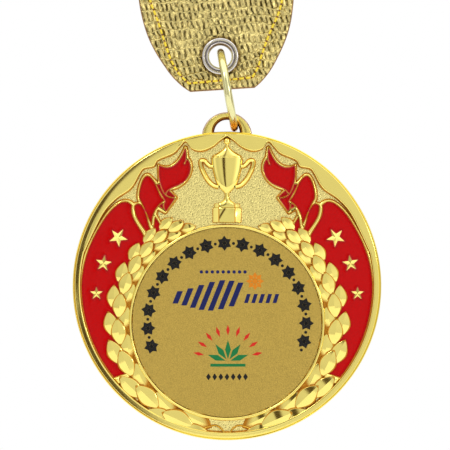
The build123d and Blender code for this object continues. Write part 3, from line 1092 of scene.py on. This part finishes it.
def inside(point, loop):
    """Whether the point is within a closed outline."""
    x, z = point
    crossings = 0
    for (ax, az), (bx, bz) in zip(loop, loop[1:] + loop[:1]):
        if (az > z) != (bz > z) and x < ax + (z - az) * (bx - ax) / (bz - az):
            crossings += 1
    return crossings % 2 == 1


class MEDAL_OT_enamel(Operator):
    """Fill each banner cell with enamel that climbs its walls a little"""

    bl_idname = "medal.enamel"
    bl_label = "Enamel"

    def execute(self, context):
        rise = context.scene.medal_sizes.meniscus / MM
        for node in ENAMEL_CELLS:
            self.fill(node, rise)
        return {"FINISHED"}

    def fill(self, node, rise):
        loops = outlines(node, ENAMEL_HEIGHT)
        loops = [grown(loop, 0 if number else WALL_TRIM) for number, loop in enumerate(loops)]
        corners = [corner for loop in loops for corner in loop]
        edges = [(ring[k - 1], ring[k]) for ring in numbered(loops) for k in range(len(ring))]
        near = KDTree(len(corners))
        for k, (x, z) in enumerate(corners):
            near.insert((x, z, 0), k)
        near.balance()
        corners += self.surface_points(loops[0], loops[1:], near)
        points, _, faces, _, _, _ = delaunay_2d_cdt([Vector(c) for c in corners], edges, [], 2, 1e-5)
        skin = Skin()
        sunk = ENAMEL_HEIGHT - 0.07
        for x, z in points:
            gap = near.find((x, z, 0))[2]
            skin.point(on_face(x, z, sunk + rise * exp(-gap / 0.28)), gap=gap * MM)
        for face in faces:
            skin.face(list(face))
        for loop in loops:
            swept(skin, loop, [(0, FIELD_HEIGHT - 0.2), (0, sunk + rise)], closed=True)
        skin.piece(f"{node}_fill", "medal", [red_enamel()], [node], sharp=60, weld=2e-6)

    def surface_points(self, outline, holes, near):
        """Evenly spaced points within a cell, none of them close to its walls."""
        low = [min(corner[axis] for corner in outline) for axis in (0, 1)]
        high = [max(corner[axis] for corner in outline) for axis in (0, 1)]
        points = []
        for i in range(int((high[0] - low[0]) / ENAMEL_STEP) + 1):
            for j in range(int((high[1] - low[1]) / ENAMEL_STEP) + 1):
                spot = (low[0] + (i + 0.5 * (j % 2)) * ENAMEL_STEP, low[1] + j * ENAMEL_STEP)
                clear = near.find((*spot, 0))[2] > 0.13
                if clear and inside(spot, outline) and not any(inside(spot, hole) for hole in holes):
                    points.append(spot)
        return points


class MEDAL_OT_banner_walls(Operator):
    """Raise the gold ground that holds the banners' enamel, with a narrow wall round each cell"""

    bl_idname = "medal.banner_walls"
    bl_label = "Banner walls"

    def execute(self, context):
        top, round_over = context.scene.medal_sizes.wall_height / MM, 0.07
        outward = [(-0.07, top + 0.005), (0, top), (round_over, top - 0.08), (0.26, FIELD_HEIGHT)]
        inward = [(0.07, top + 0.005), (0, top), (-0.02, top - 0.06), (-0.04, FIELD_HEIGHT)]
        loops = outlines("medal_casting", PLATEAU_HEIGHT)
        around = [any(inside(other[0], loop) for other in loops if other is not loop) for loop in loops]
        loops = [grown(loop, -0.05 if outer else WALL_TRIM) for loop, outer in zip(loops, around)]
        corners = [Vector(corner) for loop in loops for corner in loop]
        points, _, faces, _, _, within = delaunay_2d_cdt(corners, [], numbered(loops), 1, 1e-5)
        skin = Skin()
        for x, z in points:
            skin.point(on_face(x, z, top))
        for face, rings_around in zip(faces, within):
            if rings_around and all(around[ring] for ring in rings_around):
                skin.face(list(face))
        for loop, outer in zip(loops, around):
            profile = [(-s, h) for s, h in (outward if outer else inward)]
            # the walls' sides take the outline finish's painted shade
            swept(skin, loop, profile, closed=True, finish=1)
        materials = [cast_gold(), outline_gold()]
        skin.piece("banner_walls", "medal", materials, ["medal_casting"], sharp=35, weld=2e-6)
        return {"FINISHED"}


class MEDAL_OT_stars(Operator):
    """Make the faceted stars that stand in the enamel"""

    bl_idname = "medal.stars"
    bl_label = "Stars"

    def execute(self, context):
        rise = context.scene.medal_sizes.star_rise / MM
        skin = Skin()
        edge = ENAMEL_HEIGHT + 0.12
        for side in (1, -1):
            for (x, z), radius, turn in STARS:
                ring = [
                    polar((side * x, z), radius * (STAR_WAIST if k % 2 else 1), 90 + side * turn + 36 * k)
                    for k in range(10)
                ]
                top = [skin.point(on_face(*corner, edge)) for corner in ring]
                foot = [skin.point(on_face(*corner, FIELD_HEIGHT)) for corner in ring]
                skin.grid([foot, top], closed=True)
                skin.fan(top, on_face(side * x, z, edge + rise * radius / STARS[0][1]))
        skin.piece("stars", "medal", [cast_gold()], ["medal_casting"], sharp=8)
        return {"FINISHED"}


# ----------------------------------------------------------------------------------------
# Insert and its printed ornament
# ----------------------------------------------------------------------------------------
INK_BLACK = (0.012, 0.011, 0.010)
INK_NAVY = (0.010, 0.014, 0.085)
INK_ORANGE = (0.62, 0.20, 0.012)
INK_RED = (0.55, 0.020, 0.012)
INK_GREEN = (0.010, 0.16, 0.045)


def bar(x, z, width, height, slant=0.0):
    """An upright bar about (x, z) whose top is pushed sideways by slant."""
    w, h = width / 2, height / 2
    return [(x - w - slant, z - h), (x + w - slant, z - h), (x + w + slant, z + h), (x - w + slant, z + h)]


def lozenge(x, z, width, height):
    return [(x - width / 2, z), (x, z - height / 2), (x + width / 2, z), (x, z + height / 2)]


def disc(x, z, radius, corners=20):
    return [polar((x, z), radius, 360 * k / corners) for k in range(corners)]


def turned(shape, centre, angle):
    """The shape, drawn about (0, 0), turned by an angle in degrees and moved to centre."""
    c, s = cos(radians(angle)), sin(radians(angle))
    return [(centre[0] + x * c - z * s, centre[1] + x * s + z * c) for x, z in shape]


class MEDAL_OT_insert(Operator):
    """Make the printed disc in the wreath, with a plain ornament in five inks"""

    bl_idname = "medal.insert"
    bl_label = "Insert"

    def execute(self, context):
        skin = Skin()
        top, low, edge = INSERT_HEIGHT, INSERT_HEIGHT - INSERT_THICKNESS, INSERT_RADIUS
        stations = [(edge - 0.2, low), (edge, low + 0.05), (edge, top - 0.06), (edge - 0.06, top)]
        stations += [(r, top) for r in (19, 14, 7)]
        columns = [[on_face(*polar(INSERT_CENTRE, r, a), h) for r, h in stations] for a in range(0, 360, 3)]
        rows = skin.grid(columns, looped=True)
        skin.fan([row[0] for row in rows], on_face(*INSERT_CENTRE, low))
        skin.fan([row[-1] for row in rows], on_face(*INSERT_CENTRE, top))
        skin.piece("insert_plate", "medal", [printed_gold()], ["insert_disc"], sharp=40)
        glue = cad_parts["insert_adhesive"]
        for k in range(len(glue.material_slots)):
            glue.material_slots[k].material = adhesive()
        inks = [
            ink("black_ink", INK_BLACK), ink("navy_ink", INK_NAVY), ink("orange_ink", INK_ORANGE),
            ink("red_ink", INK_RED), ink("green_ink", INK_GREEN),
        ]
        skin = Skin()
        black = self.border() + self.foot_row()
        groups = (black, self.stripes(), self.rosette(), self.sunrise(), self.sprig())  # one per ink
        for number, shapes in enumerate(groups):
            for shape in shapes:
                ring = [skin.point(on_face(x, z, top + 0.015)) for x, z in shape]
                skin.face(ring, number)
        skin.piece("insert_ornament", "medal", inks, sharp=40)
        return {"FINISHED"}

    def border(self):
        """A row of small plain ornaments that follows the disc's edge over its top."""
        shapes, radius, pitch = [], 16.7, 13.2
        for k in range(17):
            angle = 197.5 - pitch * k
            centre = polar(INSERT_CENTRE, radius, angle)
            petals = [turned(lozenge(0.85, 0, 1.5, 1.1), (0, 0), 60 * j + 30) for j in range(6)]
            shapes += [turned(shape, centre, angle - 90) for shape in petals + [disc(0, 0, 0.34, 12)]]
            shapes.append(disc(*polar(INSERT_CENTRE, radius, angle - pitch / 2), 0.32, 12))
        return shapes

    def foot_row(self):
        return [lozenge(-3.9 + 1.3 * k, -19.15, 1.0, 1.5) for k in range(7)]

    def stripes(self):
        """Slanted stripes of changing height, with a row of beads over them."""
        tall = [2.6, 3.6, 4.8, 5.9, 6.4, 6.0, 5.0]
        shapes = [bar(-10.4 + 2.05 * k, -2.4 + 0.1 * k, 1.15, h, 0.20 * h) for k, h in enumerate(tall)]
        shapes += [disc(-5.4 + 1.15 * k, 2.95, 0.36, 12) for k in range(9)]
        return shapes + [bar(4.3 + 1.5 * k, -2.65, 0.8, 1.9, 0.3) for k in range(5)]

    def rosette(self):
        petals = [turned(lozenge(1.15, 0, 1.5, 0.95), (5.9, 1.0), 45 * k) for k in range(8)]
        return petals + [disc(5.9, 1.0, 0.55)]

    def sunrise(self):
        """Short rays that fan out over the sprig."""
        return [turned(lozenge(6.3, 0, 2.3, 0.75), (0.2, -15.6), 12 + 19.5 * k) for k in range(9)]

    def sprig(self):
        """Five plain leaves on a common foot."""
        leaves = [turned(lozenge(2.5, 0, 4.0, 1.25), (0.2, -15.9), 90 + 36 * k) for k in (-2, -1, 0, 1, 2)]
        return leaves + [bar(0.2, -16.7, 7.4, 0.6)]


# ----------------------------------------------------------------------------------------
# Link and eyelet
# ----------------------------------------------------------------------------------------
class MEDAL_OT_link(Operator):
    """Bend the round wire link between the medal and the strap"""

    bl_idname = "medal.link"
    bl_label = "Hanging link"

    def execute(self, context):
        low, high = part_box("hanging_link")
        centre = (low + high) / 2
        wire = 0.8
        radius = (high.y - low.y) / MM / 2 - wire
        up = Vector((-sin(LINK_LEAN), 0, cos(LINK_LEAN)))
        across = Vector((cos(LINK_LEAN), 0, sin(LINK_LEAN)))
        skin = Skin()
        rows = []
        stations, sides = 144, 24
        for k in range(stations):
            turn = 2 * pi * k / stations
            out = TOWARDS_FRONT * cos(turn) + up * sin(turn)
            rows.append([
                centre + (out * (radius + wire * cos(a)) + across * wire * sin(a)) * MM
                for a in (2 * pi * j / sides for j in range(sides))
            ])
        skin.grid(rows, closed=True, looped=True)
        skin.piece("wire_link", "link", [wire_gold()], ["hanging_link"])
        return {"FINISHED"}


def lathe(skin, profile, count=96):
    """Turn a profile of (radius, forward) about the eyelet's axis."""
    rows = [
        [on_strap(r * cos(2 * pi * k / count), r * sin(2 * pi * k / count), f) for r, f in profile]
        for k in range(count)
    ]
    skin.grid(rows, looped=True)


class MEDAL_OT_eyelet(Operator):
    """Roll the nickel eyelet and the washer behind it"""

    bl_idname = "medal.eyelet"
    bl_label = "Eyelet"

    def execute(self, context):
        skin = Skin()
        barrel = [(2.75, -1.35), (2.7, -1.5), (2.5, -1.52), (2.36, -1.4), (2.35, 0), (2.36, 0.6), (2.45, 1.1)]
        lip = [(2.56, 1.34), (2.68, 1.46), (2.82, 1.44), (2.94, 1.3), (3.02, 1.14), (3.1, 1.1), (3.18, 1.16)]
        flange = [
            (3.3, 1.36), (3.5, 1.48), (3.7, 1.44), (3.86, 1.26), (3.95, 1.08), (3.9, 1.02), (2.75, 1.02),
        ]
        lathe(skin, barrel + lip + flange + barrel[:1])
        skin.piece("eyelet_front", "strap", [nickel()], ["eyelet"], sharp=70)
        skin = Skin()
        washer = [
            (2.76, -1.06), (2.76, -1.4), (2.9, -1.5), (3.3, -1.42), (3.7, -1.44), (3.95, -1.3), (4.0, -1.06),
        ]
        lathe(skin, washer + washer[:1])
        skin.piece("washer_ring", "strap", [nickel()], ["eyelet_washer"], sharp=70)
        return {"FINISHED"}


# ----------------------------------------------------------------------------------------
# Strap, its stitching and its tie
# ----------------------------------------------------------------------------------------
STRAP_HALF_WIDTH, STRAP_LENGTH = 16.5, 858
TAB_REACH = 7.05
TAB_SIDE = [
    (6.8, -7.05), (8.4, -5.8), (10.4, -3.6), (12.2, -0.8), (14.0, 2.6), (15.3, 6.2), (16.2, 10.8),
    (16.5, 15.0),
]
TAB_STEP, TAB_ROWS = 0.5, 56  # the shaped end's rows lie close together
PLY, PLY_GAP = 1.0, 0.1
HANK_BOTTOM, HANK_TOP = 16.0, 70.0
HANK_RUNS, RUN_PITCH = 7, 2.8
HOLE_UNDER_FLANGE = 3.2


def tab_half_width(line, up):
    """Half the strap's width at a height over the eyelet."""
    for (wa, a), (wb, b) in zip(line, line[1:]):
        if up <= b:
            return wa + (wb - wa) * (up - a) / max(b - a, 1e-9)
    return STRAP_HALF_WIDTH


def folded_rail(shift):
    """One ply's middle line from the tab upward, as (depth behind, height), shifted by half a strap."""
    line = []
    for k in range(HANK_RUNS):
        depth, upward = k * RUN_PITCH, k % 2 == 0
        sign = 1 if upward else -1
        start = -TAB_REACH if k == 0 else (HANK_BOTTOM if upward else HANK_TOP)
        end = HANK_TOP if upward else HANK_BOTTOM
        heights = [start + TAB_STEP * j for j in range(TAB_ROWS if k == 0 else 1)]
        steps, left = 18, end - heights[-1]
        heights += [end - left * (1 - j / steps) for j in range(1, steps + 1)]
        line += [(depth - sign * shift, height) for height in heights]
        if k < HANK_RUNS - 1:
            fold = RUN_PITCH / 2 + sign * shift
            for turn in (pi * j / 12 for j in range(1, 12)):
                line.append((depth + RUN_PITCH / 2 - fold * cos(turn), end + sign * fold * sin(turn)))
    return line


class MEDAL_OT_strap(Operator):
    """Fold the neck strap: two plies face to face, shaped at the end that holds the eyelet"""

    bl_idname = "medal.strap"
    bl_label = "Neck strap"

    def execute(self, context):
        skin = Skin()
        shares = [-1, -0.992, -0.975] + [-0.95 + 0.05 * j for j in range(39)] + [0.975, 0.992, 1]
        rows = self.rows_across(skin, self.lengthwise(), shares)
        columns = len(shares)

        def open_hole(i, j):
            quad = [skin.points[rows[a][b]] for a in (i, i + 1) for b in (j, (j + 1) % len(rows[0]))]
            away = sum(quad, Vector()) / 4 - EYELET_CENTRE
            return hypot(away.dot(STRAP_ACROSS), away.dot(STRAP_UP)) > HOLE_UNDER_FLANGE * MM

        skin.grid(rows, closed=True, keep=open_hole, finish=lined(columns - 1, 2 * columns - 1))
        for row in (rows[0], rows[-1]):
            for j in range(columns - 1):
                skin.face([row[j], row[j + 1], row[2 * columns - 2 - j], row[2 * columns - 1 - j]], 1)
        materials = [leathercloth(context.scene.strap_sizes), cut_edge()]
        strap = skin.piece(
            "folded_neck_strap", "strap", materials, ["neck_strap"], sharp=50
        )
        return {"FINISHED"}

    def lengthwise(self):
        """The strip's middle line: up one ply through the folds, over at the far end, and back down."""
        shift = (PLY + PLY_GAP) / 2
        last = (HANK_RUNS - 1) * RUN_PITCH
        half_turn = (pi * j / 10 for j in range(1, 10))
        turn_over = [(last - shift * cos(turn), HANK_TOP + shift * sin(turn)) for turn in half_turn]
        return folded_rail(shift) + turn_over + folded_rail(-shift)[::-1]

    def rows_across(self, skin, line, shares):
        """For each point of the line, points across one face and back across the other."""
        side = smooth_line(TAB_SIDE, 8)
        along = distances(line)
        rows = []
        for i, ((depth, up), (nx, nz)) in enumerate(zip(line, leftward(line))):
            at_end = i < TAB_ROWS or i >= len(line) - TAB_ROWS
            half = tab_half_width(side, up) if at_end else STRAP_HALF_WIDTH
            row = []
            for face in (1, -1):
                for share in shares[::face]:
                    off = face * PLY / 2 * (1 - 0.35 * max(0.0, (abs(share) - 0.97) / 0.03))
                    row.append(skin.point(
                        on_strap(share * half, up + nz * off, -(depth + nx * off)),
                        lay=(share * half * MM, along[i] * MM),
                        edge_gap=min((1 - abs(share)) * half, along[i], along[-1] - along[i]) * MM,
                    ))
            rows.append(row)
        return rows


SEAM_LEFT = [
    (-14.1, 15.5), (-14.0, 12.8), (-12.5, 7.6), (-11.5, 3.7), (-10.5, 0.1), (-8.9, -3.1), (-7.0, -5.3),
]
SEAM_RIGHT = [(6.4, -4.9), (7.8, -2.8), (8.6, -0.6), (10.6, 4.0), (12.9, 8.4), (14.0, 12.4), (14.1, 15.5)]
RUNS_A_STITCH, THREAD_SIDES = 10, 10


class MEDAL_OT_stitching(Operator):
    """Sew the strap's two ends together round the eyelet"""

    bl_idname = "medal.stitching"
    bl_label = "Stitching"

    def execute(self, context):
        sizes = context.scene.strap_sizes
        pitch, radius = sizes.stitch_pitch / MM, sizes.thread_radius / MM
        route = smooth_line(SEAM_LEFT, 8) + smooth_line(SEAM_RIGHT, 8)
        route = respaced(route, pitch / RUNS_A_STITCH)
        face = PLY + PLY_GAP / 2
        skin = Skin()
        for side in (1, -1):
            rows = []
            for k, ((u, v), (nu, nv)) in enumerate(zip(route, leftward(route))):
                dip = exp(-((k % RUNS_A_STITCH - RUNS_A_STITCH / 2) / 1.5) ** 2)
                lift = face + 0.1 - 0.22 * dip
                row = []
                for turn in (2 * pi * j / THREAD_SIDES for j in range(THREAD_SIDES)):
                    out = radius * (1 - 0.2 * dip) * cos(turn)
                    row.append(skin.point(
                        on_strap(u + nu * out, v + nv * out, side * (lift + radius * 0.8 * sin(turn))),
                        lay=(turn * radius * MM, k * pitch / RUNS_A_STITCH * MM), dip=dip,
                    ))
                rows.append(row)
            skin.grid(rows, closed=True)
            for row in (rows[0], rows[-1]):
                skin.face(row)
        skin.piece("seam_thread", "strap", [sewing_thread()], ["strap_stitching"], sharp=60)
        return {"FINISHED"}


TIE_LOW, TIE_HIGH = 38.0, 50.0
TIE_CORNER = 0.3


def tie_route(half_across, half_deep):
    """Round a rectangle with rounded corners: (middle of the rounding, direction outward in degrees)."""
    loop = []
    for turn, (sx, sd) in zip((0, 90, 180, 270), ((1, 1), (-1, 1), (-1, -1), (1, -1))):
        centre = (sx * (half_across - TIE_CORNER), sd * (half_deep - TIE_CORNER))
        loop += [(centre, turn + step) for step in range(0, 91, 15)]
    route = []
    for (centre, turn), (after, _) in zip(loop, loop[1:] + loop[:1]):
        route.append((centre, turn))
        if after != centre:
            shares = (s / 8 for s in range(1, 8))
            route += [(tuple(a + (b - a) * share for a, b in zip(centre, after)), turn) for share in shares]
    return route + route[:1]


class MEDAL_OT_tie(Operator):
    """Put the woven band round the strap's folded length"""

    bl_idname = "medal.tie"
    bl_label = "Strap tie"

    def execute(self, context):
        thick = context.scene.strap_sizes.tie_thickness / MM
        depth = (HANK_RUNS - 1) * RUN_PITCH
        route = tie_route(STRAP_HALF_WIDTH + 0.15, depth / 2 + PLY + PLY_GAP / 2 + 0.15)
        skin = Skin()
        rows, along, before = [], 0.0, None
        section = [(0, 0.12), (0, 0.88), (0.12, 1), (0.88, 1), (1, 0.88), (1, 0.12), (0.88, 0), (0.12, 0)]
        for centre, turn in route:
            out = (cos(radians(turn)), sin(radians(turn)))
            inner = (centre[0] + TIE_CORNER * out[0], centre[1] + TIE_CORNER * out[1])
            along += hypot(inner[0] - before[0], inner[1] - before[1]) if before else 0.0
            before = inner
            row = []
            for outward, height in section:
                reach, rise = outward * thick, height * (TIE_HIGH - TIE_LOW)
                across, forward = inner[0] + out[0] * reach, inner[1] + out[1] * reach - depth / 2
                row.append(skin.point(
                    on_strap(across, TIE_LOW + rise, forward), lay=((rise + reach) * MM, along * MM)
                ))
            rows.append(row)
        skin.grid(rows, closed=True)
        skin.piece("woven_tie", "strap", [woven_band()], ["strap_tie"], sharp=50, weld=1e-6)
        return {"FINISHED"}


# ----------------------------------------------------------------------------------------
# Stage
# ----------------------------------------------------------------------------------------
FLOOR_HEIGHT = -0.11
VIEW_CENTRE = (-0.00042, 0.01283)
WINDOW_AZIMUTH, SIDE_WINDOW_AZIMUTH, DARK_CARD_AZIMUTH = 0.74, -0.85, -0.135


class Studio(PropertyGroup):
    view_width: size("View width", "Width that the camera sees at the medal", 0.0947)
    camera_distance: size("Camera distance", "From the camera to the medal's face", 0.75)
    front: FloatProperty(name="Front", description="Brightness in front of the medal", default=0.82, min=0)
    above: FloatProperty(name="Above", description="Extra brightness overhead", default=0.95, min=0)
    key_power: FloatProperty(
        name="Key light", description="Power of the main light", default=0.6, min=0, unit="POWER"
    )


class MEDAL_OT_stage(Operator):
    """Set the floor, the room's soft light, the lamps and the camera"""

    bl_idname = "medal.stage"
    bl_label = "Stage"

    def execute(self, context):
        studio = context.scene.medal_studio
        self.lay_floor()
        self.light_room(context.scene, studio)
        self.hang_lamp("key_light", (-0.35, -0.6, 0.55), 0.14, studio.key_power)
        self.hang_lamp("fill_light", (0.55, -0.5, 0.15), 0.14, studio.key_power * 0.7)
        self.place_camera(context.scene, studio)
        context.scene.view_settings.view_transform = "Standard"
        return {"FINISHED"}

    def lay_floor(self):
        work = bmesh.new()
        bmesh.ops.create_circle(work, cap_ends=True, segments=64, radius=0.45)
        mesh = bpy.data.meshes.new("floor")
        work.to_mesh(mesh)
        work.free()
        mesh.materials.append(studio_floor())
        floor = bpy.data.objects.new("floor", mesh)
        floor.location = (0, 0, FLOOR_HEIGHT)
        bpy.context.scene.collection.objects.link(floor)

    def light_room(self, scene, studio):
        """White to the eye; the metal mirrors a soft room, dark on the left and bright on the right."""
        scene.world = bpy.data.worlds.new("studio_room")
        scene.world.use_nodes = True
        recipe = Recipe(scene.world.node_tree)
        x, y, z = recipe.axes(recipe.node("ShaderNodeTexCoord", output="Generated"))
        azimuth = recipe.math("ARCTAN2", x, -y)
        level = recipe.ease(z, -0.5, -0.1) * recipe.ease(z, 0.9, 0.7)
        straight_ahead = recipe.ease(-y, 0.80, 0.97)
        window = recipe.hill(azimuth, WINDOW_AZIMUTH, 0.44) * level
        side_window = recipe.hill(azimuth, SIDE_WINDOW_AZIMUTH, 0.45) * level
        dark_card = recipe.ease(recipe.hill(azimuth, DARK_CARD_AZIMUTH, 0.09), 0.0, 0.5)
        dark_card = dark_card * recipe.ease(z, 0.75, 0.5)
        ceiling = recipe.ease(z, 0.35, 0.8)
        behind = recipe.ease(y, -0.1, 0.5)
        lit = studio.front * (0.60 + 0.40 * straight_ahead) + studio.above * ceiling + 0.4 * behind
        lit = lit + 1.1 * window + 0.55 * side_window
        brightness = lit * (1.0 - 0.9 * dark_card) * (1.0 - 0.45 * recipe.ease(z, -0.15, -0.6))
        seen = recipe.node("ShaderNodeLightPath", output="Is Camera Ray")
        strength = seen + (1.0 - seen) * brightness
        warmth = (1.0 - seen) * recipe.ease(brightness, 0.75, 0.15)
        tint = recipe.mix(warmth, (1, 1, 1), (1.0, 0.66, 0.36))
        background = recipe.node("ShaderNodeBackground", sockets={"Color": tint, "Strength": strength})
        recipe.node("ShaderNodeOutputWorld", sockets={"Surface": background})

    def hang_lamp(self, name, place, size, power):
        lamp = bpy.data.lights.new(name, "AREA")
        lamp.shape, lamp.size, lamp.energy = "DISK", size, power
        hung = bpy.data.objects.new(name, lamp)
        hung.location = place
        hung.rotation_mode = "QUATERNION"
        hung.rotation_quaternion = (Vector((0, 0, 0.01)) - Vector(place)).to_track_quat("-Z", "Y")
        bpy.context.scene.collection.objects.link(hung)

    def place_camera(self, scene, studio):
        lens = bpy.data.cameras.new("camera")
        camera = bpy.data.objects.new("camera", lens)
        camera.location = (VIEW_CENTRE[0], -RIM_HEIGHT * MM - studio.camera_distance, VIEW_CENTRE[1])
        camera.rotation_euler = (pi / 2, 0, 0)
        lens.lens = lens.sensor_width * studio.camera_distance / studio.view_width
        lens.clip_start = 0.01
        scene.collection.objects.link(camera)
        scene.camera = camera


# ----------------------------------------------------------------------------------------
# Sidebar, registration and the order of work
# ----------------------------------------------------------------------------------------
OPERATORS = (
    MEDAL_OT_stage, MEDAL_OT_casting, MEDAL_OT_wreath, MEDAL_OT_cup, MEDAL_OT_enamel, MEDAL_OT_banner_walls,
    MEDAL_OT_stars, MEDAL_OT_insert, MEDAL_OT_link, MEDAL_OT_eyelet, MEDAL_OT_strap, MEDAL_OT_stitching,
    MEDAL_OT_tie,
)
GROUPS = {
    "medal_sizes": MedalSizes, "strap_sizes": StrapSizes, "medal_colours": Colours, "medal_studio": Studio,
}


class MEDAL_PT_sidebar(Panel):
    """Lists the medal's pieces in the order in which they are made"""

    bl_idname = "MEDAL_PT_sidebar"
    bl_label = "Award Medal"
    bl_space_type = "VIEW_3D"
    bl_region_type = "UI"
    bl_category = "Medal"

    def draw(self, context):
        for operator in OPERATORS:
            self.layout.operator(operator.bl_idname)
        for name, group in GROUPS.items():
            for key in group.__annotations__:
                self.layout.prop(getattr(context.scene, name), key)


def register():
    for item in (*GROUPS.values(), *OPERATORS, MEDAL_PT_sidebar):
        bpy.utils.register_class(item)
    for name, group in GROUPS.items():
        setattr(bpy.types.Scene, name, PointerProperty(type=group))


def unregister():
    for name in GROUPS:
        delattr(bpy.types.Scene, name)
    for item in reversed((*GROUPS.values(), *OPERATORS, MEDAL_PT_sidebar)):
        bpy.utils.unregister_class(item)


def main():
    register()
    for operator in OPERATORS:
        group, name = operator.bl_idname.split(".")
        getattr(getattr(bpy.ops, group), name)()


if __name__ == "__main__":
    main()
